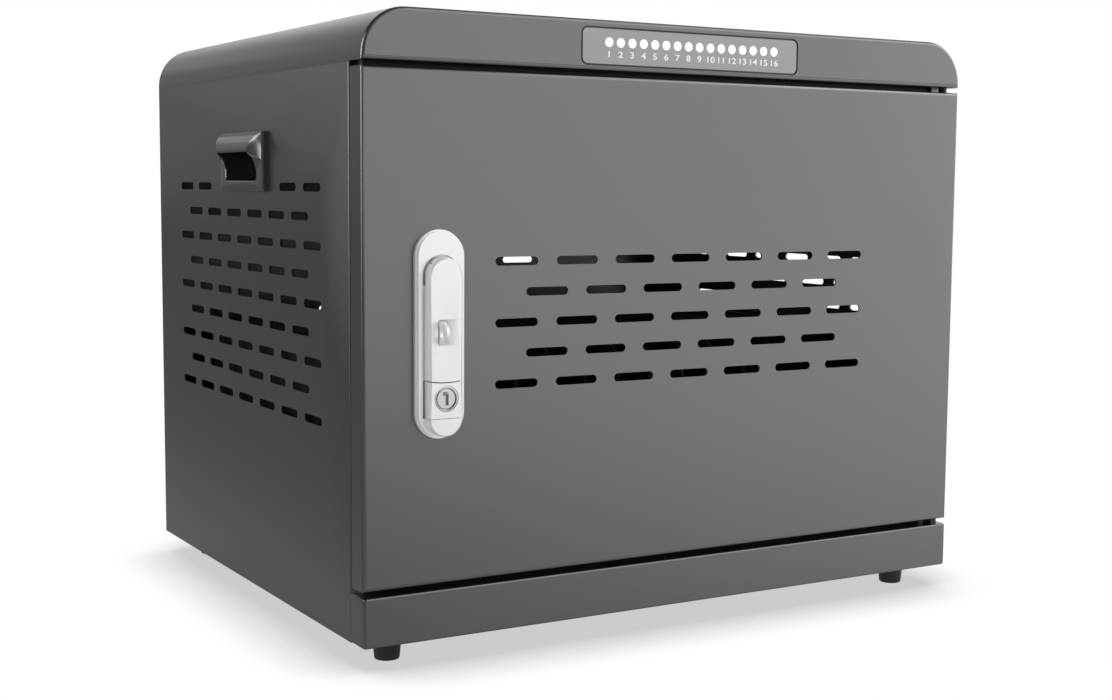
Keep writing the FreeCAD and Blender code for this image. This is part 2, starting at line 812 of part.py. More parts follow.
def make_rear_angles():
    """Two upright angles that the rear sheet is screwed to."""
    length = s.back_screw_pitch * 2 + s.angle_leg * 2
    body = new_body("rear_angles", ZERO, back_y - s.sheet, floor_z + s.angle_margin, several=True)
    sketch = new_sketch(body, "XY")
    for side in (-1, 1):
        polygon(sketch, [(inner_half * side, ZERO), (inner_half * side, -s.angle_leg),
                         ((inner_half - s.sheet) * side, -s.angle_leg),
                         ((inner_half - s.sheet) * side, -s.sheet),
                         ((inner_half - s.angle_leg) * side, -s.sheet),
                         ((inner_half - s.angle_leg) * side, ZERO)])
    pad(body, sketch, length)
    return body


def make_back_screws():
    """Hexagon heads of the six screws of the rear sheet."""
    body = new_body("back_screws", s.angle_leg / 2 + s.sheet - inner_half, back_y,
                    floor_z + back_screw_first, several=True)
    head = new_sketch(body, "XZ")
    regular(head, s.screw_head_radius, HEX)
    first = pad(body, head, s.screw_head, back=True)
    pattern(body, first, "H_Axis", (inner_half - s.angle_leg / 2 - s.sheet) * 2, 2,
            "V_Axis", s.back_screw_pitch, 3)
    return body


def make_door_frame():
    """Bulkhead behind the door, with the folded lip that the cam pulls against."""
    base = floor_z + s.sheet
    body = new_body("door_frame", ZERO, frame_y, base)
    height = top_z - s.sheet - base
    sketch = new_sketch(body, "XZ")
    inner_radius = s.corner_radius - s.sheet
    outline(sketch, [(-inner_half, ZERO), (inner_half, ZERO),
                     (inner_half, height, inner_radius), (-inner_half, height, inner_radius)])
    pad(body, sketch, s.sheet, back=True)
    lip = new_sketch(body, "XZ")
    rectangle(lip, -opening_half - s.sheet, opening_bottom - base - s.sheet,
              opening_half + s.sheet, opening_top - base + s.sheet)
    pad(body, lip, s.sheet + s.frame_lip, back=True)
    hole = new_sketch(body, "XZ", s.overrun)
    rectangle(hole, -opening_half, opening_bottom - base, opening_half, opening_top - base)
    pocket(body, hole)
    notch = new_sketch(body, "XZ")
    rectangle(notch, -inner_half - s.overrun, -s.overrun, s.sheet * 2 - inner_half,
              s.hem_height - s.sheet + s.bumper_clearance)
    rectangle(notch, inner_half - s.sheet * 2, -s.overrun, inner_half + s.overrun,
              s.hem_height - s.sheet + s.bumper_clearance)
    pocket(body, notch, s.sheet + s.overrun)
    return body


def make_bumpers():
    """Rubber stops on the lock side of the frame."""
    room = s.frame_setback - s.door_depth - s.bumper_clearance
    body = new_body("door_bumpers", s.bumper_size / 2 + s.sheet * 2 - half_width, frame_y,
                    door_bottom + s.bumper_margin, several=True)
    sketch = new_sketch(body, "XZ")
    half = s.bumper_size / 2
    rectangle(sketch, -half, -half, half, half)
    first = pad(body, sketch, room)
    pattern(body, first, "V_Axis", s.door_height - s.bumper_margin * 2, 2)
    return body


def lock_cut_out(sketch, x, y):
    """The opening for the lock in the door, which the dish's spigot fills."""
    wide = s.dish_width / 2 - s.spigot_margin
    tall = s.dish_length / 2 - s.spigot_margin
    cornered(sketch, x - wide, y - tall, x + wide, y + tall, wide * SLOT_END_SHARE)


def make_door():
    """Folded door pan with five rows of slots and the opening for the lock."""
    body = new_body("door_skin", ZERO, front_y, door_bottom)
    sketch = new_sketch(body, "XZ")
    rectangle(sketch, -half_width, ZERO, half_width, s.door_height)
    pad(body, sketch, s.door_depth, back=True)
    round_edges(body, s.edge_radius, lambda e: at(box_of(e).YMax, 0))
    inner = new_sketch(body, "XZ", -s.sheet)
    rectangle(inner, -inner_half, s.sheet, inner_half, s.door_height - s.sheet)
    pocket(body, inner, s.door_depth)
    lips = new_sketch(body, "XZ", s.sheet - s.door_depth)
    rectangle(lips, -half_width + s.sheet / 2, s.sheet / 2, half_width - s.sheet / 2,
              s.door_height - s.sheet / 2)
    rectangle(lips, s.door_flange - half_width, s.door_flange, inner_half,
              s.door_height - s.door_flange)
    pad(body, lips, s.sheet, back=True)
    vents = s.vent_centre_height + floor_z - door_bottom
    for wide, tall in ((7, 3), (6, 2)):
        slots = new_sketch(body, "XZ")
        slot(slots, -s.vent_pitch * ((wide - 1) / 2),
             vents - s.vent_row_pitch * (tall - 1), s.vent_length, s.vent_width)
        drilled = pocket(body, slots, s.sheet + s.overrun)
        pattern(body, drilled, "H_Axis", s.vent_pitch, wide, "V_Axis", s.vent_row_pitch * 2, tall)
    lock = new_sketch(body, "XZ")
    lock_cut_out(lock, lock_x, floor_z + s.dish_centre_height - door_bottom)
    pocket(body, lock, s.sheet + s.overrun)
    pivots = new_sketch(body, "XY")
    circle(pivots, hinge_x, s.axis_depth, s.pin_radius + s.running_fit)
    pocket(body, pivots, back=True)
    return body


def make_door_channel():
    """Hat channel that stiffens the hinge side of the door."""
    length = s.door_height - s.channel_margin * 2
    right = inner_half - s.sheet * 2
    left = right - s.channel_width
    body = new_body("door_channel", ZERO, front_y + s.sheet, door_bottom + s.channel_margin)
    sketch = new_sketch(body, "XY")
    polygon(sketch, [(left, ZERO), (right, ZERO), (right, s.sheet),
                     (right - s.sheet * 3, s.sheet), (right - s.sheet * 3, s.channel_depth),
                     (left + s.sheet * 3, s.channel_depth), (left + s.sheet * 3, s.sheet),
                     (left, s.sheet)])
    pad(body, sketch, length)
    hollow = new_sketch(body, "XY")
    rectangle(hollow, left + s.sheet * 4, -s.overrun, right - s.sheet * 4,
              s.channel_depth - s.sheet)
    pocket(body, hollow, back=True)
    return body


def make_pins():
    """Pivot pins of the door, welded to the flanges. The lower one has a collar for the door."""
    upper = new_body("hinge_pin_upper", hinge_x, hinge_y, fascia_bottom)
    sketch = new_sketch(upper, "XY")
    circle(sketch, ZERO, ZERO, s.pin_radius)
    pad(upper, sketch, s.fascia_gap + s.pin_reach, back=True)
    lower = new_body("hinge_pin_lower", hinge_x, hinge_y, plinth_top)
    collar = s.plinth_gap - s.lift_clearance
    sketch = new_sketch(lower, "XY")
    regular(sketch, s.collar_radius, HEX)
    pad(lower, sketch, collar)
    sketch = new_sketch(lower, "XY", collar)
    circle(sketch, ZERO, ZERO, s.pin_radius)
    pad(lower, sketch, s.pin_reach)
    return upper, lower


dish_z = floor_z + s.dish_centre_height
column_radius = s.column_width / 2
spindle_w = spindle_z - dish_z
cylinder_w = cylinder_z - dish_z
stem_half = s.cylinder_radius + s.stem_wall
cap_centre = s.cap_margin + column_radius - s.dish_length / 2
button_foot = cap_centre + s.button_clearance
lever_end_radius = s.lever_top_height - column_radius - s.lever_end_height


def make_dish():
    """Stepped oblong dish of the lock, with the recess and groove around the lever."""
    body = new_body("lock_dish", lock_x, front_y, dish_z)
    base = new_sketch(body, "XZ")
    oblong(base, ZERO, ZERO, s.dish_length, s.dish_width, upright=True)
    pad(body, base, s.dish_step)
    face = new_sketch(body, "XZ", s.dish_step)
    oblong(face, ZERO, ZERO, s.dish_length - s.dish_inset * 2, s.dish_width - s.dish_inset * 2,
           upright=True)
    pad(body, face, s.dish_height - s.dish_step)
    cap = new_sketch(body, "XZ", s.dish_height - s.overrun)
    half_disc(cap, column_radius, cap_centre)
    pad(body, cap, s.cap_height + s.overrun)
    round_edges(body, s.cap_bevel,
                lambda e: at(box_of(e).YMax, -s.dish_height - s.cap_height)
                and at(box_of(e).ZMin, cap_centre - column_radius), "Chamfer")
    spigot = new_sketch(body, "XZ")
    lock_cut_out(spigot, ZERO, ZERO)
    pad(body, spigot, s.sheet, back=True)
    outer = column_radius + s.groove_width
    ring = new_sketch(body, "XZ", s.dish_height)
    circle(ring, ZERO, spindle_w, outer)
    pocket(body, ring, s.recess_depth)
    for side in (-1, 1):
        groove = new_sketch(body, "XZ", s.dish_height)
        near = column_radius * side
        far = outer * side
        left, right = (far, near) if side < 0 else (near, far)
        rectangle(groove, left, button_foot, right, spindle_w)
        pocket(body, groove, s.groove_depth)
    well = new_sketch(body, "XZ", s.dish_height)
    rectangle(well, -outer, cap_centre, outer, spindle_w - lever_end_radius + s.button_gap)
    pocket(body, well, s.well_depth)
    bores = new_sketch(body, "XZ", s.dish_height)
    regular(bores, s.spindle_radius + s.running_fit, TURNED_SIDES, spindle_w)
    half = stem_half + s.running_fit
    rectangle(bores, -half, cylinder_w - half, half, cylinder_w + half)
    pocket(body, bores)
    return body


def half_disc(sketch, radius, centre):
    """A half disc below a level side through its centre."""
    arc = sketch.addGeometry(arc_between((0, centre.value), radius.value, math.pi, math.pi))
    fix_point(sketch, arc, 3, ZERO, centre)
    fix(sketch, "Radius", arc, size=radius)
    right = FreeCAD.Vector(radius.value, centre.value, 0)
    left = FreeCAD.Vector(-radius.value, centre.value, 0)
    line = sketch.addGeometry(Part.LineSegment(right, left))
    sketch.addConstraint(Sketcher.Constraint("Coincident", arc, 2, line, 1))
    sketch.addConstraint(Sketcher.Constraint("Coincident", line, 2, arc, 1))
    fix(sketch, "DistanceY", -1, 1, line, 1, size=centre)
    sketch.addConstraint(Sketcher.Constraint("Horizontal", line))


def make_case():
    """Lock case behind the door skin, open for the spindle and the button's stem."""
    body = new_body("lock_case", lock_x, front_y + s.sheet, dish_z)
    sketch = new_sketch(body, "XZ")
    cornered(sketch, -s.case_width / 2, -s.case_length / 2, s.case_width / 2, s.case_length / 2,
             s.case_bevel)
    pad(body, sketch, s.case_depth, back=True)
    inside = new_sketch(body, "XZ")
    clear = s.spindle_radius + s.case_clearance
    rectangle(inside, -clear, spindle_w - clear, clear, spindle_w + clear)
    half = stem_half + s.running_fit
    rectangle(inside, -half, cylinder_w - half, half, cylinder_w + half)
    pocket(body, inside)
    return body


def make_lock_screws():
    """Hexagon heads of the two screws that clamp the case to the dish."""
    body = new_body("lock_screws", lock_x, front_y + case_back,
                    dish_z + s.lock_screw_inset - s.case_length / 2, several=True)
    head = new_sketch(body, "XZ")
    regular(head, s.lock_screw_head_radius, HEX)
    first = pad(body, head, s.lock_screw_head, back=True)
    pattern(body, first, "V_Axis", s.case_length - s.lock_screw_inset * 2, 2)
    return body


recess_floor = s.dish_height - s.recess_depth
lever_back = s.dish_height + s.lever_clearance
cam_front = case_back + s.cam_gap
cam_back = cam_front + s.cam_thickness


def make_spindle():
    """Spindle with the forked lug that carries the lever and the square that drives the cam."""
    body = new_body("spindle", lock_x, front_y, spindle_z)
    shaft = new_sketch(body, "XZ", -cam_front)
    regular(shaft, s.spindle_radius, TURNED_SIDES)
    pad(body, shaft, cam_front + recess_floor + s.head_gap * 2)
    head = new_sketch(body, "XZ", recess_floor + s.head_gap)
    regular(head, s.head_radius, HEX)
    pad(body, head, s.dish_height - recess_floor)
    lug = new_sketch(body, "YZ", -s.lug_width / 2)
    rise = lever_pin_z - spindle_z
    low, high = -s.dish_height, -(s.lever_pin_height + s.lug_radius)
    rectangle(lug, high, -s.lug_tail, low, rise)
    pad(body, lug, s.lug_width)
    nose = new_sketch(body, "YZ", -s.lug_width / 2)
    circle(nose, -s.lever_pin_height, rise, s.lug_radius)
    pad(body, nose, s.lug_width)
    eye = new_sketch(body, "YZ", -s.lug_width)
    circle(eye, -s.lever_pin_height, rise, s.lever_pin_radius + s.running_fit)
    pocket(body, eye, back=True)
    square = new_sketch(body, "XZ", -cam_back)
    half = s.spindle_radius * RAISED_SHARE
    rectangle(square, -half, -half, half, half)
    pad(body, square, s.cam_thickness)
    return body


def make_cam():
    """Cam plate, drawn turned clear of the frame."""
    body = new_body("cam", lock_x, front_y + cam_front, spindle_z)
    sketch = new_sketch(body, "XZ")
    half = s.cam_width / 2
    cornered(sketch, -half, -half, half, s.cam_reach, half / 2)
    pad(body, sketch, s.cam_thickness, back=True)
    square = new_sketch(body, "XZ", s.overrun)
    side = s.spindle_radius * RAISED_SHARE + s.cam_fit
    rectangle(square, -side, -side, side, side)
    pocket(body, square)
    return body


def make_cam_nut():
    """Hexagonal cap nut on the end of the spindle."""
    body = new_body("cam_nut", lock_x, front_y + cam_back, spindle_z)
    sketch = new_sketch(body, "XZ")
    regular(sketch, s.nut_radius, HEX)
    pad(body, sketch, s.nut_height, back=True)
    return body


def make_lever():
    """Flush lever: round top, concentric foot, slot for the lug, and a ramped relief for the eye."""
    body = new_body("lever", lock_x, front_y, spindle_z)
    sketch = new_sketch(body, "XZ", lever_back)
    foot_half = column_radius
    reach = lever_end_radius
    rise = math.sqrt(reach.value ** 2 - foot_half.value ** 2)
    top = sketch.addGeometry(arc_between((0, 0), column_radius.value, 0.0, math.pi))
    fix_point(sketch, top, 3, ZERO, ZERO)
    fix(sketch, "Radius", top, size=column_radius)
    start = math.atan2(-rise, -foot_half.value)
    ring = Part.Circle(FreeCAD.Vector(0, 0, 0), FreeCAD.Vector(0, 0, 1), reach.value)
    foot = sketch.addGeometry(Part.ArcOfCircle(ring, start, math.atan2(-rise, foot_half.value)))
    fix_point(sketch, foot, 3, ZERO, ZERO)
    fix(sketch, "Radius", foot, size=reach)
    for x, arc_end, foot_end in ((-foot_half.value, 2, 1), (foot_half.value, 1, 2)):
        line = sketch.addGeometry(Part.LineSegment(FreeCAD.Vector(x, 0, 0),
                                                   FreeCAD.Vector(x, -rise, 0)))
        sketch.addConstraint(Sketcher.Constraint("Tangent", top, arc_end, line, 1))
        sketch.addConstraint(Sketcher.Constraint("Coincident", line, 2, foot, foot_end))
        sketch.addConstraint(Sketcher.Constraint("Vertical", line))
    pad(body, sketch, s.lever_face_height - lever_back)
    front = -s.lever_face_height
    round_edges(body, s.lever_bevel,
                lambda e: at(box_of(e).YMax, front) and not at(box_of(e).ZMin, -reach, s.edge_slack * 2),
                "Chamfer")
    slot = new_sketch(body, "XZ", s.lever_clearance)
    half = s.lever_slot_width / 2
    pin_rise = lever_pin_z - spindle_z
    slot_top = s.lever_face_height - s.lever_wall - s.lever_pin_height
    rectangle(slot, -half, -s.lever_slot_tail - s.head_radius, half, pin_rise + slot_top)
    pocket(body, slot, s.lever_face_height - s.lever_wall - s.lever_clearance, back=True)
    bore = new_sketch(body, "YZ", -column_radius + s.lever_bevel * 2)
    circle(bore, -s.lever_pin_height, pin_rise, s.lever_pin_radius)
    pocket(body, bore, s.column_width - s.lever_bevel * 4, back=True)
    top = floor_z + s.eye_window_centre_height - spindle_z + s.eye_window_height / 2
    window = new_sketch(body, "XY", top)
    left = s.eye_window_offset - s.eye_window_width / 2
    right = s.eye_window_offset + s.eye_window_width / 2
    seat = left + s.eye_gap * 2 + s.eye_thickness
    floor = -(lever_back + s.eye_floor)
    clear = -(s.lever_face_height + s.overrun)
    polygon(window, [(left, clear), (left, floor), (seat, floor),
                     (right, -s.lever_face_height), (right, clear)])
    pocket(body, window, s.eye_window_height)
    return body


def make_lever_pin():
    """Cross pin between the lever and the spindle's lug."""
    body = new_body("lever_pin", lock_x, front_y - s.lever_pin_height, lever_pin_z)
    sketch = new_sketch(body, "YZ", s.lever_bevel * 2 - column_radius)
    circle(sketch, ZERO, ZERO, s.lever_pin_radius)
    pad(body, sketch, s.column_width - s.lever_bevel * 4)
    return body


def make_eye():
    """D-shaped padlock eye that stands in the lever's window."""
    left = s.eye_window_offset - s.eye_window_width / 2 + s.eye_gap
    body = new_body("padlock_eye", lock_x + left, front_y,
                    floor_z + s.eye_window_centre_height)
    sketch = new_sketch(body, "YZ")
    radius = s.eye_height / 2
    foot = -(lever_back + s.eye_floor)
    centre = radius - lock_reach
    arc = sketch.addGeometry(arc_between((centre.value, 0), radius.value, math.pi / 2, math.pi))
    fix_point(sketch, arc, 3, centre, ZERO)
    fix(sketch, "Radius", arc, size=radius)
    corners = [(centre, -radius), (foot, -radius), (foot, radius), (centre, radius)]
    vectors = [FreeCAD.Vector(x.value, y.value, 0) for x, y in corners]
    lines = [sketch.addGeometry(Part.LineSegment(vectors[n], vectors[n + 1])) for n in range(3)]
    sketch.addConstraint(Sketcher.Constraint("Tangent", arc, 2, lines[0], 1))
    sketch.addConstraint(Sketcher.Constraint("Tangent", lines[2], 2, arc, 1))
    for number in (1, 2):
        sketch.addConstraint(Sketcher.Constraint("Coincident", lines[number - 1], 2,
                                                 lines[number], 1))
        fix_point(sketch, lines[number], 1, *corners[number])
    circle(sketch, -s.eye_hole_height, ZERO, s.eye_hole_radius)
    pad(body, sketch, s.eye_thickness)
    return body


def make_button():
    """Push button with the sleeve that guides it and holds the cylinder."""
    body = new_body("button", lock_x, front_y, cylinder_z)
    foot = button_foot - cylinder_w
    hollow = lever_end_radius + s.button_gap
    lift = spindle_w - cylinder_w
    half = column_radius
    edge = lift.value - math.sqrt(hollow.value ** 2 - half.value ** 2)
    sketch = new_sketch(body, "XZ", lever_back - s.lever_clearance * 2)
    ring = Part.Circle(FreeCAD.Vector(0, lift.value, 0), FreeCAD.Vector(0, 0, 1), hollow.value)
    start = math.atan2(edge - lift.value, -half.value)
    top = sketch.addGeometry(Part.ArcOfCircle(ring, start, math.atan2(edge - lift.value, half.value)))
    fix_point(sketch, top, 3, ZERO, lift)
    fix(sketch, "Radius", top, size=hollow)
    corners = [(-half.value, edge), (-half.value, foot.value), (half.value, foot.value),
               (half.value, edge)]
    vectors = [FreeCAD.Vector(x, y, 0) for x, y in corners]
    lines = [sketch.addGeometry(Part.LineSegment(vectors[n], vectors[n + 1])) for n in range(3)]
    sketch.addConstraint(Sketcher.Constraint("Coincident", top, 1, lines[0], 1))
    sketch.addConstraint(Sketcher.Constraint("Coincident", lines[2], 2, top, 2))
    for number, x in ((1, -half), (2, half)):
        sketch.addConstraint(Sketcher.Constraint("Coincident", lines[number - 1], 2,
                                                 lines[number], 1))
        fix_point(sketch, lines[number], 1, x, foot)
    sketch.addConstraint(Sketcher.Constraint("Vertical", lines[0]))
    sketch.addConstraint(Sketcher.Constraint("Vertical", lines[2]))
    pad(body, sketch, s.lever_face_height - lever_back + s.lever_clearance * 2)
    front = -s.lever_face_height
    round_edges(body, s.lever_bevel,
                lambda e: at(box_of(e).YMax, front) and box_of(e).XLength < s.sheet.value, "Chamfer")
    sleeve = new_sketch(body, "XZ", -s.stem_depth)
    rectangle(sleeve, -stem_half, -stem_half, stem_half, stem_half)
    pad(body, sleeve, s.stem_depth + s.dish_height)
    bore = new_sketch(body, "XZ", s.lever_face_height + s.overrun)
    regular(bore, s.cylinder_radius, TURNED_SIDES)
    pocket(body, bore)
    return body


def make_cylinder():
    """Fixed outer part of the key cylinder, with its bevelled ring."""
    front = s.lever_face_height - s.cylinder_setback
    body = new_body("key_cylinder", lock_x, front_y, cylinder_z)
    sketch = new_sketch(body, "XZ", -s.stem_depth)
    regular(sketch, s.cylinder_radius, TURNED_SIDES)
    regular(sketch, s.plug_radius + s.running_fit, TURNED_SIDES)
    pad(body, sketch, s.stem_depth + front)
    return body


def make_plug():
    """Turning plug of the key cylinder, with the keyway."""
    front = s.lever_face_height - s.plug_setback
    body = new_body("key_plug", lock_x, front_y, cylinder_z)
    sketch = new_sketch(body, "XZ", -s.stem_depth)
    regular(sketch, s.plug_radius, TURNED_SIDES)
    pad(body, sketch, s.stem_depth + front)
    keyway = new_sketch(body, "XZ", front)
    wide, tall = s.keyway_width / 2, s.keyway_height / 2
    polygon(keyway, [(-wide / 2, -tall), (wide / 2, -tall), (wide / 2, tall / 3), (wide, tall / 2),
                     (wide, tall), (-wide / 2, tall)])
    pocket(body, keyway, s.keyway_depth)
    return body


def make_window():
    """Indicator plate, flush with the fascia."""
    body = new_body("indicator_plate", ZERO, front_y, fascia_bottom + s.window_centre_height)
    sketch = new_sketch(body, "XZ")
    rectangle(sketch, -s.window_width / 2, -s.window_height / 2, s.window_width / 2,
              s.window_height / 2, s.window_radius)
    pad(body, sketch, s.sheet, back=True)
    return body


def make_leds():
    """Sixteen round indicators, slightly proud of their plate."""
    body = new_body("indicator_leds", -s.led_pitch * ((LEDS - 1) / 2), front_y,
                    fascia_bottom + s.window_centre_height + s.led_height, several=True)
    sketch = new_sketch(body, "XZ")
    regular(sketch, s.led_radius, LED_SIDES)
    first = pad(body, sketch, s.led_dome)
    pattern(body, first, "H_Axis", s.led_pitch, LEDS)
    return body


def make_led_board():
    """Circuit board behind the indicator plate."""
    body = new_body("indicator_board", ZERO, front_y + s.sheet,
                    fascia_bottom + s.window_centre_height)
    sketch = new_sketch(body, "XZ")
    half = s.window_width / 2 + s.led_board_margin
    tall = s.window_height / 2 + s.led_board_margin / 2
    rectangle(sketch, -half, -tall, half, tall)
    pad(body, sketch, s.led_board_thickness, back=True)
    return body


shelf_half = s.bay_pitch * (BAYS / 2) + s.shelf_margin


def make_shelf():
    """Raised floor of the bays, folded down to the base at front and back."""
    base = floor_z + s.sheet
    body = new_body("shelf", -shelf_half, front_y + s.shelf_front, base)
    height = shelf_top - base
    sketch = new_sketch(body, "YZ")
    polygon(sketch, [(ZERO, ZERO), (s.sheet, ZERO), (s.sheet, height - s.sheet),
                     (s.shelf_depth - s.sheet, height - s.sheet), (s.shelf_depth - s.sheet, ZERO),
                     (s.shelf_depth, ZERO), (s.shelf_depth, height), (ZERO, height)])
    pad(body, sketch, shelf_half * 2)
    return body


def make_dividers():
    """Seventeen upright plates that part the sixteen bays."""
    body = new_body("dividers", -s.bay_pitch * (BAYS / 2) - s.divider_thickness / 2,
                    front_y + s.shelf_front, shelf_top, several=True)
    sketch = new_sketch(body, "YZ")
    polygon(sketch, [(s.sheet, ZERO), (s.shelf_depth - s.sheet, ZERO),
                     (s.shelf_depth - s.sheet, s.divider_height - s.divider_bevel),
                     (s.shelf_depth - s.sheet - s.divider_bevel, s.divider_height),
                     (s.sheet + s.divider_bevel, s.divider_height),
                     (s.sheet, s.divider_height - s.divider_bevel)])
    first = pad(body, sketch, s.divider_thickness)
    ground = new_sketch(body, "XY")
    repeat(body, [first], ground, "H_Axis", s.bay_pitch, BAYS + 1)
    return body


def make_tray():
    """Tray hung from the top, for the power supply and the output board."""
    body = new_body("electronics_tray", -s.tray_half_width, front_y + s.tray_front, tray_floor)
    height = top_z - s.sheet - tray_floor
    sketch = new_sketch(body, "YZ")
    polygon(sketch, [(ZERO, ZERO), (s.tray_depth, ZERO), (s.tray_depth, height),
                     (s.tray_depth - s.sheet, height), (s.tray_depth - s.sheet, s.sheet),
                     (s.sheet, s.sheet), (s.sheet, height), (ZERO, height)])
    pad(body, sketch, s.tray_half_width * 2)
    return body


def make_supply():
    """Closed power supply."""
    body = new_body("power_supply", ZERO, front_y + s.tray_front + s.tray_depth
                    - s.sheet - s.board_margin, tray_floor + s.sheet)
    sketch = new_sketch(body, "XY")
    rectangle(sketch, -s.supply_length / 2, -s.supply_depth, s.supply_length / 2, ZERO)
    pad(body, sketch, s.supply_height)
    return body


def make_terminals():
    """Terminal block in front of the power supply."""
    body = new_body("terminal_block", ZERO, front_y + s.tray_front + s.tray_depth
                    - s.sheet - s.board_margin - s.supply_depth, tray_floor + s.sheet)
    sketch = new_sketch(body, "YZ", -s.terminal_length / 2)
    polygon(sketch, [(ZERO, ZERO), (ZERO, s.terminal_height), (-s.terminal_depth / 2, s.terminal_height),
                     (-s.terminal_depth, s.terminal_height / 2), (-s.terminal_depth, ZERO)])
    pad(body, sketch, s.terminal_length)
    return body


board_bottom = tray_floor + s.sheet + s.standoff_height
board_front = front_y + s.tray_front + s.sheet + s.board_margin


def make_board():
    """Output board on standoffs."""
    body = new_body("output_board", ZERO, board_front, board_bottom)
    sketch = new_sketch(body, "XY")
    rectangle(sketch, -s.board_length / 2, ZERO, s.board_length / 2, s.board_depth)
    pad(body, sketch, s.board_thickness)
    return body


def make_standoffs():
    """Four pillars under the output board."""
    body = new_body("board_standoffs", s.standoff_inset - s.board_length / 2,
                    board_front + s.standoff_inset, tray_floor + s.sheet, several=True)
    sketch = new_sketch(body, "XY")
    half = s.standoff_width / 2
    rectangle(sketch, -half, -half, half, half)
    first = pad(body, sketch, s.standoff_height)
    pattern(body, first, "H_Axis", s.board_length - s.standoff_inset * 2, 2,
            "V_Axis", s.board_depth - s.standoff_inset * 2, 2)
    return body


def make_headers():
    """One output header per bay."""
    body = new_body("output_headers", -s.header_pitch * ((BAYS - 1) / 2), board_front,
                    board_bottom + s.board_thickness, several=True)
    sketch = new_sketch(body, "XY")
    rectangle(sketch, -s.header_width / 2, s.board_margin, s.header_width / 2,
              s.board_margin + s.header_depth)
    first = pad(body, sketch, s.header_height)
    pattern(body, first, "H_Axis", s.header_pitch, BAYS)
    return body


def make_inlet():
    """Mains inlet: a rim on the rear sheet and a cavity with three blades."""
    body = new_body("power_inlet", s.inlet_offset, back_y, floor_z + s.inlet_height)
    wide, tall = s.inlet_width / 2, s.inlet_tall / 2
    rim = new_sketch(body, "XZ")
    cornered(rim, -wide - s.inlet_flange, -tall - s.inlet_flange, wide + s.inlet_flange,
             tall + s.inlet_flange, s.inlet_bevel)
    pad(body, rim, s.inlet_flange_thickness, back=True)
    housing = new_sketch(body, "XZ")
    rectangle(housing, -wide, -tall, wide, tall)
    pad(body, housing, s.inlet_depth)
    cavity = new_sketch(body, "XZ", s.inlet_depth - s.inlet_wall)
    inner_x, inner_z = wide - s.inlet_wall, tall - s.inlet_wall
    chamfer = s.inlet_bevel
    polygon(cavity, [(-inner_x, -inner_z), (inner_x, -inner_z), (inner_x, inner_z - chamfer),
                     (inner_x - chamfer, inner_z), (chamfer - inner_x, inner_z),
                     (-inner_x, inner_z - chamfer)])
    pocket(body, cavity, s.inlet_depth + s.overrun)
    return body


def make_inlet_blades():
    """Live, neutral and earth blades."""
    body = new_body("inlet_blades", s.inlet_offset, back_y - s.inlet_depth + s.inlet_wall,
                    floor_z + s.inlet_height, several=True)
    sketch = new_sketch(body, "XZ")
    wide, tall = s.pin_blade_width / 2, s.pin_blade_height / 2
    for x, z in ((-s.pin_spread, s.pin_rise), (ZERO, s.earth_rise), (s.pin_spread, s.pin_rise)):
        rectangle(sketch, x - wide, z - tall, x + wide, z + tall)
    pad(body, sketch, s.pin_blade_length, back=True)
    return body


def make_switch():
    """Housing of the mains switch, open where the rocker sits."""
    body = new_body("switch_housing", s.switch_offset, back_y, floor_z + s.inlet_height)
    wide, tall = s.switch_width / 2, s.switch_tall / 2
    rim = new_sketch(body, "XZ")
    cornered(rim, -wide - s.switch_rim, -tall - s.switch_rim, wide + s.switch_rim,
             tall + s.switch_rim, s.switch_rim / 2)
    pad(body, rim, s.switch_rim_thickness, back=True)
    housing = new_sketch(body, "XZ")
    rectangle(housing, -wide, -tall, wide, tall)
    pad(body, housing, s.switch_depth)
    cavity = new_sketch(body, "XZ", s.switch_depth - s.switch_wall)
    rectangle(cavity, s.switch_wall - wide, s.switch_wall - tall, wide - s.switch_wall,
              tall - s.switch_wall)
    pocket(body, cavity, s.switch_depth + s.overrun)
    axle = new_sketch(body, "YZ", -wide + s.switch_wall / 2)
    circle(axle, -s.rocker_pivot_depth, ZERO, s.axle_radius)
    pad(body, axle, s.switch_width - s.switch_wall)
    return body


def make_rocker():
    """Rocker of the mains switch, drawn in its off position."""
    half = s.switch_width / 2 - s.switch_wall - s.rocker_clearance
    body = new_body("rocker", s.switch_offset, back_y - s.rocker_pivot_depth,
                    floor_z + s.inlet_height)
    radius = s.rocker_radius
    raised = radius * RAISED_SHARE
    reach = radius * PRESSED_REACH_SHARE
    height = radius * PRESSED_DEPTH_SHARE
    foot = s.rocker_pivot_depth - s.axle_radius
    sketch = new_sketch(body, "YZ", -half)
    polygon(sketch, [(raised, raised), (height + s.rocker_clearance, ZERO), (height, -reach),
                     (-foot, -foot * 2), (-foot, foot * 2)])
    pad(body, sketch, half * 2)
    bore = new_sketch(body, "YZ", -half - s.overrun)
    circle(bore, ZERO, ZERO, s.axle_radius + s.running_fit)
    pocket(body, bore, back=True)
    return body


parts = [
    make_fascia(),
    make_top_cover(),
    make_side_panel("side_panel_left", -half_width),
    make_side_panel("side_panel_right", inner_half),
    make_plinth(),
    make_base_pan(),
    make_back_panel(),
    make_rear_angles(),
    make_back_screws(),
    make_door_frame(),
    make_bumpers(),
    make_feet(),
    make_handle("side_handle_left", -1),
    make_handle("side_handle_right", 1),
    make_window(),
    make_leds(),
    make_led_board(),
    make_shelf(),
    make_dividers(),
    make_tray(),
    make_supply(),
    make_terminals(),
    make_board(),
    make_standoffs(),
    make_headers(),
    make_inlet(),
    make_inlet_blades(),
    make_switch(),
    make_rocker(),
    *make_pins(),
    make_door(),
    make_door_channel(),
    make_dish(),
    make_case(),
    make_lock_screws(),
    make_spindle(),
    make_cam(),
    make_cam_nut(),
    make_lever(),
    make_lever_pin(),
    make_eye(),
    make_button(),
    make_cylinder(),
    make_plug(),
]

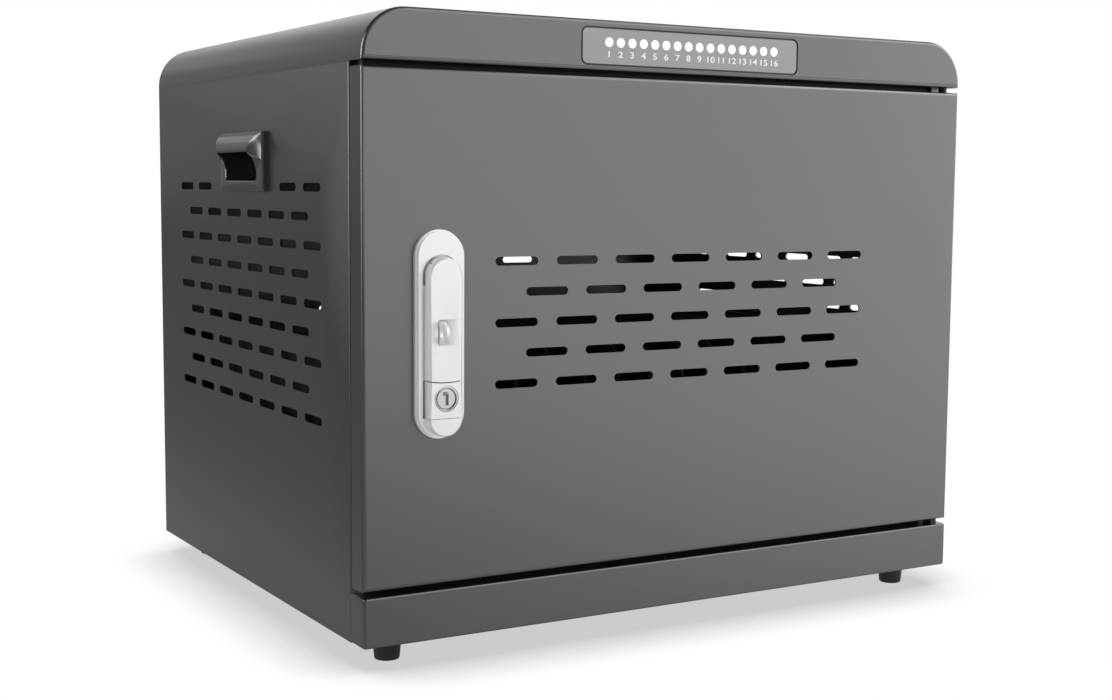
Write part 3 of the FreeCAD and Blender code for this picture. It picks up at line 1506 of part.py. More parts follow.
doc.recompute()
for thing in doc.Objects:
    if {"Invalid", "Error"} & set(thing.State):
        raise RuntimeError(f"{thing.Name} failed: {thing.State}")
os.makedirs("parts", exist_ok=True)
for part in parts:
    shape = part.Shape
    if shape.isNull() or not shape.isValid():
        raise RuntimeError(f"{part.Label} has no valid shape")
    shape.exportStep(os.path.join("parts", part.Label + ".step"))
    print(f"{part.Label}: {len(shape.Solids)} solids, {shape.Volume:.1f} mm3")
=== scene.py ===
# Charging cabinet: finishes, small rounded forms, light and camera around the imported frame
import json
import math

import bmesh
import bpy
from mathutils import Matrix, Vector


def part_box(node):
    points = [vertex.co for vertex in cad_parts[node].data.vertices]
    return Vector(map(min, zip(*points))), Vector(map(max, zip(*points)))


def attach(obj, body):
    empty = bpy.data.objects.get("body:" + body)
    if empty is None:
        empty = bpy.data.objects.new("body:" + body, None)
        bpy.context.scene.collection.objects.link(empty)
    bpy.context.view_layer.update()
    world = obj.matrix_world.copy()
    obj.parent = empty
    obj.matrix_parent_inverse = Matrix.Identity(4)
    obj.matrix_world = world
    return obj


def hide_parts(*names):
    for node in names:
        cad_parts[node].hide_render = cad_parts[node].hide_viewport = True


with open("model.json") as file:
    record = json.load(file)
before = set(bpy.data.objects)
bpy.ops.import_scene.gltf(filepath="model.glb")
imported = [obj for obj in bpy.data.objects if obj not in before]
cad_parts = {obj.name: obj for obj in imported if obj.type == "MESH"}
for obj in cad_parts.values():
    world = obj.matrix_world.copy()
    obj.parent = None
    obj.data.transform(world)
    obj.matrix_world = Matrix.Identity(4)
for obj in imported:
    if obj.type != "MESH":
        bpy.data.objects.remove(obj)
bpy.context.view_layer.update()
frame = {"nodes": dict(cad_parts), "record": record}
scene = bpy.context.scene
nodes = frame["nodes"]

# Body and its folds, in metres like all lengths here
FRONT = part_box("front_fascia")[0][1]
HALF_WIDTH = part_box("front_fascia")[1][0]
SHEET = 0.0012
FOLD = 0.0026
FOLD_STEPS = 6
PLINTH_FOLD = 0.0012
PLINTH_STEPS = 4
RETURN = 0.008
SLOT_WIDTH = 0.0055
SLOT_STEPS = 4
BURR = 0.00025
BURR_STEPS = 2

# What the solids have on their front edges
SOLID_CHAMFER = 0.001
SOLID_ROUND = 0.0018
CHAMFER_LONGEST_SHARE = 1.9
CHAMFER_WIDE_SHARES = (0.5, 1.6)

# Tolerances in metres, and spans of the angle between two faces in degrees
WELD = 0.00001
SLACK = 3 * WELD
CUT = 0.000001
NEARLY = 0.999
FLAT = 0.5
SLIGHT = (0.1, 30.0)
SLOT_TURN = 45.0
SLOT_FLATS = (40.0, 50.0)
STEEP = (60.0, 100.0)
SQUARE = (80.0, 100.0)
CAST_EDGES = (30.0, 150.0)
X, Y, Z = range(3)

# Angles in degrees above which an edge stays sharp
SHEET_SMOOTH = 35.0
GRIP_SMOOTH = 22.0
TURNED_SMOOTH = 40.0
LENS_SMOOTH = 50.0
PLUG_SMOOTH = 30.0
SHADING_WEIGHT = 90

# How far in the middle of a small rounding stands, as a share of its radius
ARC_SHARE = 0.3

# Indicators and the numbers under them
LED_PITCH = 0.0089
LED_COUNT = 16
LENS_SIDES = 28
LENS_SHARES = ((0.0, 0.0), (1.0, 0.0), (1.0, 0.45), (0.93, 0.8), (0.75, 0.95), (0.0, 1.0))
NUMBER_HEIGHT = 0.3849
NUMBER_SIZE = 0.0058
NUMBER_STROKE = 0.00009
NUMBER_STRETCH = (1.26, 0.96, 1.0)
NUMBER_SPACING = 1.05
PRINT_DEPTH = 0.00004
PLATE_GAP = 0.0004
PLATE_CORNER = 0.0036
PLATE_STEPS = 8

# Grips: flange, mouth, hood and its sloping ends
GRIP_FLANGE = 0.004
GRIP_CORNER = 0.0022
GRIP_ROUND = 0.0012
GRIP_WALL = 0.0018
GRIP_MOUTH_HALF = 0.031
GRIP_MOUTH_TALL = 0.01405
GRIP_MOUTH_MIDDLE = 0.00095
GRIP_MOUTH_CORNER = 0.0035
GRIP_MOUTH_SHARES = ((0.0, -0.5), (0.25, -0.125), (1.0, 0.0))
GRIP_CUP_SHARE = 0.25
GRIP_LIP = 0.0016
GRIP_LIP_UP = 0.0071
GRIP_LIP_SHARES = ((0.1, 0.35), (0.55, 0.5), (1.0, 0.2))
GRIP_INSIDE_SHARES = (1.0, 0.4)
GRIP_BOW = 0.0022
GRIP_BOW_STEPS = 12
GRIP_SPAN_STEPS = 8
GRIP_SINK = 0.0003
GRIP_CREASE_END = 0.0012
GRIP_CHEEK = ((0.0028, 0.003), (0.0012, -0.001), (0.0, -0.005))
GRIP_CHEEK_SHARES = (0.25, 1.0)
GRIP_END_SHARE = 0.985
GRIP_END_STEPS = 12
CORNER_STEPS = 5

# Lock: softened edges of its castings, slimmed chamfer, cylinder, plug and keyway
SOFT_EDGES = {"lock_dish": 0.00035, "lever": 0.0004, "button": 0.00035, "padlock_eye": 0.0003}
SOFT_STEPS = 3
CHAMFERED = ("lever", "button")
LEVER_CHAMFER = 0.0013
CHAMFER_SHARE = 0.55
CYLINDER_GAP = 0.00012
CYLINDER_ROUND = 0.0005
CYLINDER_SIDES = 64
KEYWAY_DEPTH = 0.006
KEYWAY = ((-0.0022, 0.0042), (0.0006, 0.0042), (0.0016, 0.0034), (0.0016, -0.0042),
          (-0.0006, -0.0042), (-0.0006, 0.0018), (-0.0022, 0.0018))

# Feet
FOOT_TOP = 0.0094
FOOT_BOTTOM = 0.0082
FOOT_ROUND = 0.0012
FOOT_SIDES = 40

# Photograph's camera, in metres, degrees and millimetres
CAMERA_PLACE = Vector((-0.636403, -1.090964, 0.300312))
CAMERA_AZIMUTH = -30.5345
CAMERA_ELEVATION = 5.7349
CAMERA_ROLL = 0.4293
CAMERA_LENS = 52.852
CAMERA_SENSOR = 36.0

# Lamps: name, place, target, width and height in metres, power in watts
LAMPS = (
    ("right", (1.679, -0.64, 0.716), (0.0, -0.19, 0.25), 1.4, 1.4, 5.6),
    ("right high", (0.975, -1.008, 1.523), (0.0, -0.19, 0.25), 1.6, 1.6, 7.0),
    ("left", (-1.25, -0.05, 0.62), (-0.24, -0.15, 0.3), 0.7, 0.8, 5.0),
    ("behind", (0.0, 1.715, 1.35), (0.0, -0.19, 0.25), 1.6, 1.2, 2.0),
    ("rear left", (-1.146, 1.57, 1.045), (-0.24, 0.0, 0.2), 1.2, 1.2, 0.4),
    ("low rear left", (-0.797, 2.079, 0.657), (-0.24, 0.0, 0.2), 1.2, 0.8, 0.5),
)

# Room that matt and metal surfaces see, and the floor with its painted shadow and painted sheen
AMBIENT = 0.9
BRIGHT_SIDE = (0.8, -0.1, 0.6)
BRIGHT_SPAN = (0.0, 0.48)
CEILING_SPAN = (0.45, 0.8)
DARK_LEVEL = 0.11
FLOOR_HALF = 6.0
FLOOR_COLOUR = 0.6
# Painted sheen: how bright glossy rays see the floor, from dim on the left to full on the right
FLOOR_PAINTED_SHEEN = (0.18, 1.0)
FLOOR_SPAN = (-0.5, 0.7)
# Painted shadow: the floor's glow dims close to the cabinet by ambient occlusion
SHADOW_REACH = 0.08
SHADOW_SPAN = (0.48, 0.87)
SHADOW_LEVEL = 0.6
SHADOW_SAMPLES = 8

# Values that the finishes share
CLOUD_SCALE = 14.0
CLOUD_DETAIL = 4.0
COAT_ROUGHNESS = 0.1
RELIEF_DEPTH = 0.0002
COOL_SHARE = 1.01


# Shared effects

def new_math(tree, operation, *values):
    """Math node fed by sockets or numbers; returns its output."""
    node = tree.nodes.new("ShaderNodeMath")
    node.operation = operation
    for socket, value in zip(node.inputs, values):
        if isinstance(value, (int, float)):
            socket.default_value = value
        else:
            tree.links.new(value, socket)
    return node.outputs[0]


def new_range(tree, value, span, levels, kind="LINEAR"):
    """Map Range node from a span to two levels; returns its output."""
    node = tree.nodes.new("ShaderNodeMapRange")
    node.interpolation_type = kind
    node.inputs["From Min"].default_value, node.inputs["From Max"].default_value = span
    node.inputs["To Min"].default_value, node.inputs["To Max"].default_value = levels
    tree.links.new(value, node.inputs["Value"])
    return node.outputs["Result"]


def new_group(name, inputs, outputs):
    """Empty node group with float or colour sockets; returns it with its two end nodes."""
    group = bpy.data.node_groups.new(name, "ShaderNodeTree")
    for label, kind, value in inputs:
        socket = group.interface.new_socket(label, in_out="INPUT", socket_type=kind)
        socket.default_value = value
    for label, kind in outputs:
        group.interface.new_socket(label, in_out="OUTPUT", socket_type=kind)
    return group, group.nodes.new("NodeGroupInput"), group.nodes.new("NodeGroupOutput")


def build_surface_effect(name, pattern, stretch=(1.0, 1.0, 1.0), detail=2.0):
    """Uneven finish from one pattern.

    The group takes a colour, a roughness, a pattern scale and how uneven they are, and puts out
    the varied colour and roughness and a height for the bump.
    """
    group, ins, outs = new_group(
        name,
        [("Colour", "NodeSocketColor", (0.5, 0.5, 0.5, 1.0)),
         ("Roughness", "NodeSocketFloat", 0.4), ("Scale", "NodeSocketFloat", 900.0),
         ("Unevenness", "NodeSocketFloat", 0.05), ("Mottle", "NodeSocketFloat", 0.05)],
        [("Colour", "NodeSocketColor"), ("Roughness", "NodeSocketFloat"),
         ("Height", "NodeSocketFloat")])
    link = group.links.new
    place = group.nodes.new("ShaderNodeTexCoord")
    drawn = group.nodes.new("ShaderNodeMapping")
    drawn.inputs["Scale"].default_value = stretch
    link(place.outputs["Object"], drawn.inputs["Vector"])
    texture = group.nodes.new(pattern)
    link(drawn.outputs["Vector"], texture.inputs["Vector"])
    link(ins.outputs["Scale"], texture.inputs["Scale"])
    if pattern == NOISE:
        texture.inputs["Detail"].default_value = detail
        fine = texture.outputs["Fac"]
    else:
        fine = texture.outputs["Distance"]
    link(fine, outs.inputs["Height"])
    cloud = group.nodes.new(NOISE)
    cloud.inputs["Scale"].default_value = CLOUD_SCALE
    cloud.inputs["Detail"].default_value = CLOUD_DETAIL
    link(place.outputs["Object"], cloud.inputs["Vector"])
    both = new_math(group, "ADD", fine, cloud.outputs["Fac"])
    centred = new_math(group, "SUBTRACT", both, 1.0)
    rough = new_math(group, "MULTIPLY_ADD", centred, ins.outputs["Unevenness"],
                     ins.outputs["Roughness"])
    link(rough, outs.inputs["Roughness"])
    shade = new_math(group, "MULTIPLY_ADD", centred, ins.outputs["Mottle"], 1.0)
    tint = group.nodes.new("ShaderNodeVectorMath")
    tint.operation = "SCALE"
    link(ins.outputs["Colour"], tint.inputs[0])
    link(shade, tint.inputs["Scale"])
    link(tint.outputs["Vector"], outs.inputs["Colour"])
    return group


NOISE, CELLS = "ShaderNodeTexNoise", "ShaderNodeTexVoronoi"
POWDER_GRAIN = build_surface_effect("Powder grain", NOISE)
MOULD_GRAIN = build_surface_effect("Mould grain", NOISE, detail=5.0)
BRUSHED_LINES = build_surface_effect("Brushed lines", NOISE, stretch=(1.0, 1.0, 0.03))
ZINC_SPANGLE = build_surface_effect("Zinc spangle", CELLS)
CAST_SKIN = build_surface_effect("Cast skin", NOISE, detail=8.0)
BOARD_TRACKS = build_surface_effect("Board tracks", CELLS, stretch=(1.0, 1.0, 0.2))


# Finishes

def new_material(name, colour, roughness, effect, scale, bump=0.1, unevenness=0.05, mottle=0.05,
                 metallic=0.0, coat=0.0, painted_glow=0.0):
    """Principled material whose colour, roughness and bump come from a surface effect."""
    material = bpy.data.materials.new(name)
    material.use_nodes = True
    tree = material.node_tree
    shader = tree.nodes["Principled BSDF"]
    shader.inputs["Metallic"].default_value = metallic
    shader.inputs["Coat Weight"].default_value = coat
    shader.inputs["Coat Roughness"].default_value = COAT_ROUGHNESS
    # Painted glow: an emission that makes the surface shine though it is no lamp
    if painted_glow:
        shader.inputs["Emission Color"].default_value = (*colour, 1.0)
        shader.inputs["Emission Strength"].default_value = painted_glow
    finish = tree.nodes.new("ShaderNodeGroup")
    finish.node_tree = effect
    finish.inputs["Colour"].default_value = (*colour, 1.0)
    finish.inputs["Roughness"].default_value = roughness
    finish.inputs["Scale"].default_value = scale
    finish.inputs["Unevenness"].default_value = unevenness
    finish.inputs["Mottle"].default_value = mottle
    relief = tree.nodes.new("ShaderNodeBump")
    relief.inputs["Strength"].default_value = bump
    relief.inputs["Distance"].default_value = RELIEF_DEPTH
    link = tree.links.new
    link(finish.outputs["Height"], relief.inputs["Height"])
    link(finish.outputs["Colour"], shader.inputs["Base Color"])
    link(finish.outputs["Roughness"], shader.inputs["Roughness"])
    link(relief.outputs["Normal"], shader.inputs["Normal"])
    return material


def grey(level):
    """Slightly cool grey."""
    return (level, level, level * COOL_SHARE)


powder_coat = new_material("powder coat", grey(0.203), 0.3, POWDER_GRAIN, 1400.0, metallic=0.96,
                           bump=0.12, unevenness=0.04, mottle=0.04)
# The inner parts wear a much darker copy of the powder coat: painted shade inside the cabinet
inner_coat_painted_shade = new_material("inner powder coat, painted shade", grey(0.04), 0.5, POWDER_GRAIN, 1400.0, bump=0.25)
divider_plastic = new_material("divider plastic", grey(0.035), 0.5, MOULD_GRAIN, 1800.0,
                               bump=0.3, mottle=0.1)
grip_plastic = new_material("grip plastic", grey(0.21), 0.2, MOULD_GRAIN, 1100.0, metallic=0.94,
                            bump=0.07, unevenness=0.08, mottle=0.12)
lock_lacquer = new_material("lock lacquer", (0.97, 0.97, 0.97), 0.3, POWDER_GRAIN, 2200.0,
                            metallic=0.6, coat=0.3, bump=0.015, unevenness=0.04, mottle=0.02)
lock_casting = new_material("lock casting", (0.55, 0.55, 0.56), 0.45, CAST_SKIN, 700.0,
                            metallic=1.0, bump=0.5, unevenness=0.15, mottle=0.2)
chrome = new_material("cylinder chrome", (0.74, 0.74, 0.75), 0.16, BRUSHED_LINES, 2600.0,
                      metallic=1.0, bump=0.06, unevenness=0.1, mottle=0.1)
zinc = new_material("zinc plating", (0.62, 0.63, 0.65), 0.3, ZINC_SPANGLE, 500.0, metallic=1.0,
                    bump=0.06, unevenness=0.15, mottle=0.25)
pin_steel = new_material("blackened pin steel", grey(0.06), 0.35, CAST_SKIN, 900.0, metallic=1.0,
                         bump=0.15, unevenness=0.1, mottle=0.15)
foot_rubber = new_material("foot rubber", (0.025, 0.025, 0.025), 0.38, MOULD_GRAIN, 900.0,
                           bump=0.2, unevenness=0.15, mottle=0.3)
plate_plastic = new_material("indicator plate", grey(0.35), 0.33, MOULD_GRAIN, 2400.0, bump=0.08,
                             metallic=0.5, mottle=0.04)
# The indicator lenses get a painted glow that makes them whiter
led_lens_painted_glow = new_material("indicator lens, painted glow", (0.9, 0.9, 0.89), 0.3, MOULD_GRAIN, 3000.0, bump=0.1,
                        mottle=0.03, painted_glow=0.35)
# The printed numbers get a painted glow that brightens the print
number_print_painted_glow = new_material("number print, painted glow", (0.85, 0.85, 0.85), 0.5, MOULD_GRAIN, 3000.0,
                            bump=0.1, mottle=0.1, painted_glow=0.1)
board_mask = new_material("board mask", (0.006, 0.03, 0.016), 0.35, BOARD_TRACKS, 400.0,
                          coat=0.4, bump=0.5, unevenness=0.1, mottle=0.9)
supply_sheet = new_material("supply sheet", (0.6, 0.6, 0.62), 0.33, ZINC_SPANGLE, 260.0,
                            metallic=1.0, bump=0.08, unevenness=0.15, mottle=0.2)
connector_plastic = new_material("connector plastic", (0.03, 0.03, 0.03), 0.4, MOULD_GRAIN,
                                 1500.0, bump=0.25, mottle=0.15)
fitting_plastic = new_material("fitting plastic", (0.015, 0.015, 0.015), 0.33, MOULD_GRAIN,
                               1500.0, bump=0.2, mottle=0.2)
blade_plating = new_material("blade plating", (0.75, 0.74, 0.7), 0.2, BRUSHED_LINES, 1800.0,
                             metallic=1.0, bump=0.1, unevenness=0.1, mottle=0.1)

FINISHES = {
    powder_coat: ("door_skin", "front_fascia", "top_cover", "side_panel_left", "side_panel_right",
                  "plinth", "base_pan", "back_panel"),
    inner_coat_painted_shade: ("rear_angles", "door_frame", "door_channel", "shelf", "electronics_tray"),
    divider_plastic: ("dividers",),
    grip_plastic: ("side_handle_left", "side_handle_right"),
    lock_lacquer: ("lock_dish", "lever", "button", "padlock_eye"),
    lock_casting: ("lock_case",),
    chrome: ("key_cylinder", "key_plug"),
    zinc: ("spindle", "cam", "cam_nut", "lever_pin", "lock_screws", "back_screws"),
    pin_steel: ("hinge_pin_upper", "hinge_pin_lower"),
    foot_rubber: ("feet", "door_bumpers"),
    plate_plastic: ("indicator_plate",),
    led_lens_painted_glow: ("indicator_leds",),
    board_mask: ("indicator_board", "output_board"),
    supply_sheet: ("power_supply", "board_standoffs"),
    connector_plastic: ("terminal_block", "output_headers"),
    fitting_plastic: ("power_inlet", "switch_housing", "rocker"),
    blade_plating: ("inlet_blades",),
}
for finish, names in FINISHES.items():
    for name in names:
        for slot in nodes[name].material_slots:
            slot.material = finish


# Nodes and the forms that stand in for them

def node_slot(name):
    """The material slot that the record gives a node."""
    return next(row["material_slot"] for row in frame["record"]["subparts"] if row["node"] == name)


def node_body(name):
    """The body that a node rides on."""
    bodies = frame["record"]["behaviour"]["bodies"]
    return next(body for body, names in bodies.items() if name in names)


def clean_copy(name):
    """A node's shape with its flat faces joined up."""
    shape = bmesh.new()
    shape.from_mesh(nodes[name].data)
    shape.verts.layers.int.new("fold")
    shape.verts.layers.int.new("rim")
    bmesh.ops.remove_doubles(shape, verts=shape.verts, dist=WELD)
    bmesh.ops.dissolve_limit(shape, angle_limit=math.radians(FLAT), verts=shape.verts,
                             edges=shape.edges)
    return shape


def stand_in(name, shape, smooth=SHEET_SMOOTH):
    """Makes the shape the seen form of a node."""
    mesh = bpy.data.meshes.new(name + "_seen")
    shape.to_mesh(mesh)
    shape.free()
    mesh.materials.append(nodes[name].material_slots[0].material)
    mesh.shade_smooth()
    mesh.set_sharp_from_angle(angle=math.radians(smooth))
    piece = bpy.data.objects.new(name + "_seen", mesh)
    scene.collection.objects.link(piece)
    shading = piece.modifiers.new("even shading", "WEIGHTED_NORMAL")
    shading.keep_sharp = True
    shading.weight = SHADING_WEIGHT
    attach(piece, node_body(name))
    node_slot(name)
    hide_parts(name)


def stand_in_outward(name, shape, smooth):
    """Turns the faces of a built shape outwards and makes it the seen form of a node."""
    bmesh.ops.recalc_face_normals(shape, faces=shape.faces)
    stand_in(name, shape, smooth)


# Folded sheets

def straight(edge, axis):
    """Whether an edge runs along an axis."""
    way = edge.verts[1].co - edge.verts[0].co
    return abs(way[axis]) > NEARLY * way.length


def turned(edge, low, high):
    """Whether the two faces at an edge turn by an angle between low and high degrees."""
    return len(edge.link_faces) == 2 and low < math.degrees(edge.calc_face_angle(0.0)) < high


def bevel(shape, edges, width, segments, clamp=False):
    """Rounds edges."""
    bmesh.ops.bevel(shape, geom=edges, offset=width, offset_type="OFFSET", segments=segments,
                    profile=0.5, affect="EDGES", clamp_overlap=clamp, miter_outer="ARC")


def mark_fold(shape, moved):
    """Merges the moved corners and returns the sharp outer edges that they leave."""
    tag = shape.verts.layers.int["fold"]
    for corner in moved:
        corner.co.y = FRONT
        corner[tag] = 1
    bmesh.ops.remove_doubles(shape, verts=shape.verts, dist=WELD)
    return [edge for edge in shape.edges if edge.verts[0][tag] and edge.verts[1][tag]
            and turned(edge, *STEEP)]


def square_up(shape):
    """Takes the solid's chamfer off the front edges; returns the sharp edges."""
    moved = set()
    for edge in shape.edges:
        near, far = sorted(edge.verts, key=lambda corner: corner.co.y)
        if abs(near.co.y - FRONT) < WELD and abs(far.co.y - FRONT - SOLID_CHAMFER) < WELD:
            if edge.calc_length() < SOLID_CHAMFER * CHAMFER_LONGEST_SHARE:
                near.co = far.co
                moved.update((near, far))
    return mark_fold(shape, moved)


def unround(shape, low, high):
    """Takes the solid's rounding off the front edges of a box; returns the sharp edges."""
    moved = set()
    for corner in shape.verts:
        deep = corner.co.y - FRONT
        if deep > SOLID_ROUND + WELD:
            continue
        for axis, side, wall in ((X, 1, low[X]), (X, -1, high[X]), (Z, 1, low[Z]), (Z, -1, high[Z])):
            inset = (corner.co[axis] - wall) * side
            off = math.hypot(SOLID_ROUND - inset, SOLID_ROUND - deep) - SOLID_ROUND
            if inset < SOLID_ROUND + WELD and abs(off) < SLACK:
                corner.co[axis] = wall
                moved.add(corner)
    return mark_fold(shape, moved)


def round_slots(shape, through):
    """Half-round ends for the slots, whose ends have three flats, and slightly broken edges."""
    ends = [edge for edge in shape.edges if turned(edge, *SLOT_FLATS) and straight(edge, through)
            and edge.calc_length() < SHEET + WELD]
    width = SLOT_WIDTH / 2 * math.tan(math.radians(SLOT_TURN / 2)) * NEARLY
    bevel(shape, ends, width, SLOT_STEPS, clamp=True)
    tag = shape.verts.layers.int["rim"]
    for edge in shape.edges:
        if (straight(edge, through) and edge.calc_length() < SHEET + WELD
                and turned(edge, *SLIGHT)):
            for corner in edge.verts:
                corner[tag] = 1
    rims = [edge for edge in shape.edges if edge.verts[0][tag] and edge.verts[1][tag]
            and turned(edge, *SQUARE)]
    bevel(shape, rims, BURR, BURR_STEPS, clamp=True)


def build_side(name, side):
    """Side sheet, folded inwards along the door opening."""
    edge_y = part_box(name)[0][1]
    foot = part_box("plinth")[1][2]
    outer, inner = side * HALF_WIDTH, side * (HALF_WIDTH - SHEET)
    shape = clean_copy(name)
    for place, way in (((0, 0, foot), (0, 0, 1)), ((0, edge_y + SHEET, 0), (0, 1, 0))):
        whole = shape.verts[:] + shape.edges[:] + shape.faces[:]
        bmesh.ops.bisect_plane(shape, geom=whole, plane_co=place, plane_no=way, dist=CUT)
    strip = []
    for face in shape.faces:
        middle = face.calc_center_median()
        inside = abs(middle.x - inner) < WELD and abs(face.normal.x) > NEARLY
        if inside and middle.y < edge_y + SHEET and middle.z > foot:
            strip.append(face)
    grown = bmesh.ops.extrude_face_region(shape, geom=strip)
    for item in grown["geom"]:
        if isinstance(item, bmesh.types.BMVert):
            item.co.x = inner - side * RETURN
    bmesh.ops.delete(shape, geom=strip, context="FACES_ONLY")
    corner = [edge for edge in shape.edges if straight(edge, Z) and turned(edge, *SQUARE)
              and all(abs(v.co.x - outer) < WELD and abs(v.co.y - edge_y) < WELD
                      and v.co.z > foot - WELD for v in edge.verts)]
    bevel(shape, corner, FOLD, FOLD_STEPS)
    round_slots(shape, X)
    stand_in(name, shape)


def build_door():
    """Door with its folds and slots."""
    door = clean_copy("door_skin")
    bevel(door, unround(door, *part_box("door_skin")), FOLD, FOLD_STEPS)
    round_slots(door, Y)
    stand_in("door_skin", door)


def build_fascia():
    """Fascia with its front fold."""
    fascia = clean_copy("front_fascia")
    bevel(fascia, square_up(fascia), FOLD, FOLD_STEPS)
    stand_in("front_fascia", fascia)


def build_plinth():
    """Plinth with folds along its top and bottom, round the two front corners."""
    low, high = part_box("plinth")
    plinth = clean_copy("plinth")
    square_up(plinth)
    rims = [edge for edge in plinth.edges if turned(edge, *STEEP) and not straight(edge, Z)
            and all((abs(v.co.z - high[2]) < WELD or abs(v.co.z - low[2]) < WELD)
                    and (v.co.y < FRONT + SHEET - WELD or abs(v.co.x) > HALF_WIDTH - SHEET + WELD)
                    for v in edge.verts)
            and abs(edge.verts[0].co.z - edge.verts[1].co.z) < WELD]
    bevel(plinth, rims, PLINTH_FOLD, PLINTH_STEPS)
    stand_in("plinth", plinth)


def build_back():
    """Rear sheet with its slots."""
    back = clean_copy("back_panel")
    round_slots(back, Y)
    stand_in("back_panel", back)


# Castings of the lock

def slim_chamfer(shape):
    """Shrinks the solid's 45 degree chamfer on the lever's and the button's front edges."""
    least, most = (LEVER_CHAMFER * share for share in CHAMFER_WIDE_SHARES)
    pairs = []
    for edge in shape.edges:
        near, far = sorted(edge.verts, key=lambda corner: corner.co.y)
        deep = far.co.y - near.co.y
        wide = math.hypot(far.co.x - near.co.x, far.co.z - near.co.z)
        if abs(deep - LEVER_CHAMFER) < SLACK and least < wide < most:
            pairs.append((near, far, near.co.copy(), far.co.copy()))
    for near, far, front, back in pairs:
        near.co.x = back.x + (front.x - back.x) * CHAMFER_SHARE
        near.co.z = back.z + (front.z - back.z) * CHAMFER_SHARE
        far.co.y = front.y + (back.y - front.y) * CHAMFER_SHARE


def soften(name, width):
    """A casting or moulding with rounded edges, and its front chamfer slimmed where it has one."""
    shape = clean_copy(name)
    if name in CHAMFERED:
        slim_chamfer(shape)
    edges = [edge for edge in shape.edges if turned(edge, *CAST_EDGES)]
    bevel(shape, edges, width, SOFT_STEPS, clamp=True)
    stand_in(name, shape, TURNED_SMOOTH)


# Built shapes

def skin(shape, near, far):
    """Faces between two rings of equally many corners."""
    for k in range(len(near)):
        n = (k + 1) % len(near)
        shape.faces.new((near[k], near[n], far[n], far[k]))


def loft(shape, loops, ends=True):
    """Skins loops of equally many points, in order; returns their corners."""
    rings = [[shape.verts.new(point) for point in loop] for loop in loops]
    for near, far in zip(rings, rings[1:]):
        skin(shape, near, far)
    if ends:
        shape.faces.new(rings[0][::-1])
        shape.faces.new(rings[-1])
    return rings


def circle(centre, radius, sides):
    """Points of a circle in one plane."""
    return [(centre[0] + radius * math.cos(2 * math.pi * k / sides),
             centre[1] + radius * math.sin(2 * math.pi * k / sides)) for k in range(sides)]


def turn(shape, centre, profile, sides, ends=True):
    """Body turned about an axis along Y; centre holds X and Z, and profile radius and Y."""
    return loft(shape, [[(x, y, z) for x, z in circle(centre, radius, sides)]
                        for radius, y in profile], ends)


def rounded(centre, half, radius, steps=CORNER_STEPS):
    """Points of a rectangle with rounded corners."""
    points = []
    for corner, (right, up) in enumerate(((1, 1), (-1, 1), (-1, -1), (1, -1))):
        for k in range(steps):
            angle = math.radians(90.0 * corner + 90.0 * k / (steps - 1))
            points.append((centre[0] + right * (half[0] - radius) + radius * math.cos(angle),
                           centre[1] + up * (half[1] - radius) + radius * math.sin(angle)))
    return points


def arc_between(start, end, bulge, steps):
    """Points of an arc in one plane from start to end that bows by bulge to its left."""
    way = Vector(end) - Vector(start)
    half = way.length / 2
    radius = (half * half + bulge * bulge) / (2 * bulge)
    left = Vector((-way.y, way.x)).normalized()
    centre = (Vector(start) + Vector(end)) / 2 - left * (radius - bulge)
    spoke = Vector(start) - centre
    sweep = 2 * math.asin(half / radius)
    return [tuple(centre + Matrix.Rotation(-sweep * k / steps, 2) @ spoke)
            for k in range(steps + 1)]


def front_middle(low, high):
    """X and Z of the middle of a box."""
    return (low[0] + high[0]) / 2, (low[2] + high[2]) / 2


def add_flange(shape, put, half_long, half_tall, deep):
    """The grip's flange, with rounded edges at its rim and its mouth, and the cup behind it."""
    def rim(out, inset):
        points = rounded((0.0, 0.0), (half_long - inset, half_tall - inset), GRIP_CORNER)
        return [put(out, along, up) for along, up in points]

    def mouth(out, inset):
        points = rounded((0.0, GRIP_MOUTH_MIDDLE),
                         (GRIP_MOUTH_HALF - inset, GRIP_MOUTH_TALL - inset), GRIP_MOUTH_CORNER)
        return [put(out, along, up) for along, up in points]

    cup_outside = [mouth(-deep, -GRIP_WALL), mouth(0.0, -GRIP_WALL)]
    edge = [rim(0.0, 0.0), rim(GRIP_FLANGE - GRIP_ROUND, 0.0),
            rim(GRIP_FLANGE - GRIP_ROUND * ARC_SHARE, GRIP_ROUND * ARC_SHARE),
            rim(GRIP_FLANGE, GRIP_ROUND)]
    opening = [mouth(GRIP_FLANGE - GRIP_ROUND * inward, GRIP_ROUND * inset)
               for inward, inset in GRIP_MOUTH_SHARES]
    cup_floor = [mouth(GRIP_FLANGE - deep, GRIP_WALL * GRIP_CUP_SHARE)]
    loft(shape, cup_outside + edge + opening + cup_floor)


def add_hood(shape, put, bow, lip):
    """The grip's bowed hood over the mouth, with its rounded lip."""
    edge = [(lip[0] - GRIP_LIP * inward, lip[1] - GRIP_LIP * down)
            for inward, down in GRIP_LIP_SHARES]
    inside = [(out - GRIP_LIP * GRIP_INSIDE_SHARES[0], up - GRIP_LIP * GRIP_INSIDE_SHARES[1])
              for out, up in bow[-2::-1]]
    section = bow + edge + inside
    spans = [GRIP_MOUTH_HALF * k / GRIP_SPAN_STEPS
             for k in range(-GRIP_SPAN_STEPS, GRIP_SPAN_STEPS + 1)]
    loft(shape, [[put(out, along, up) for out, up in section] for along in spans])


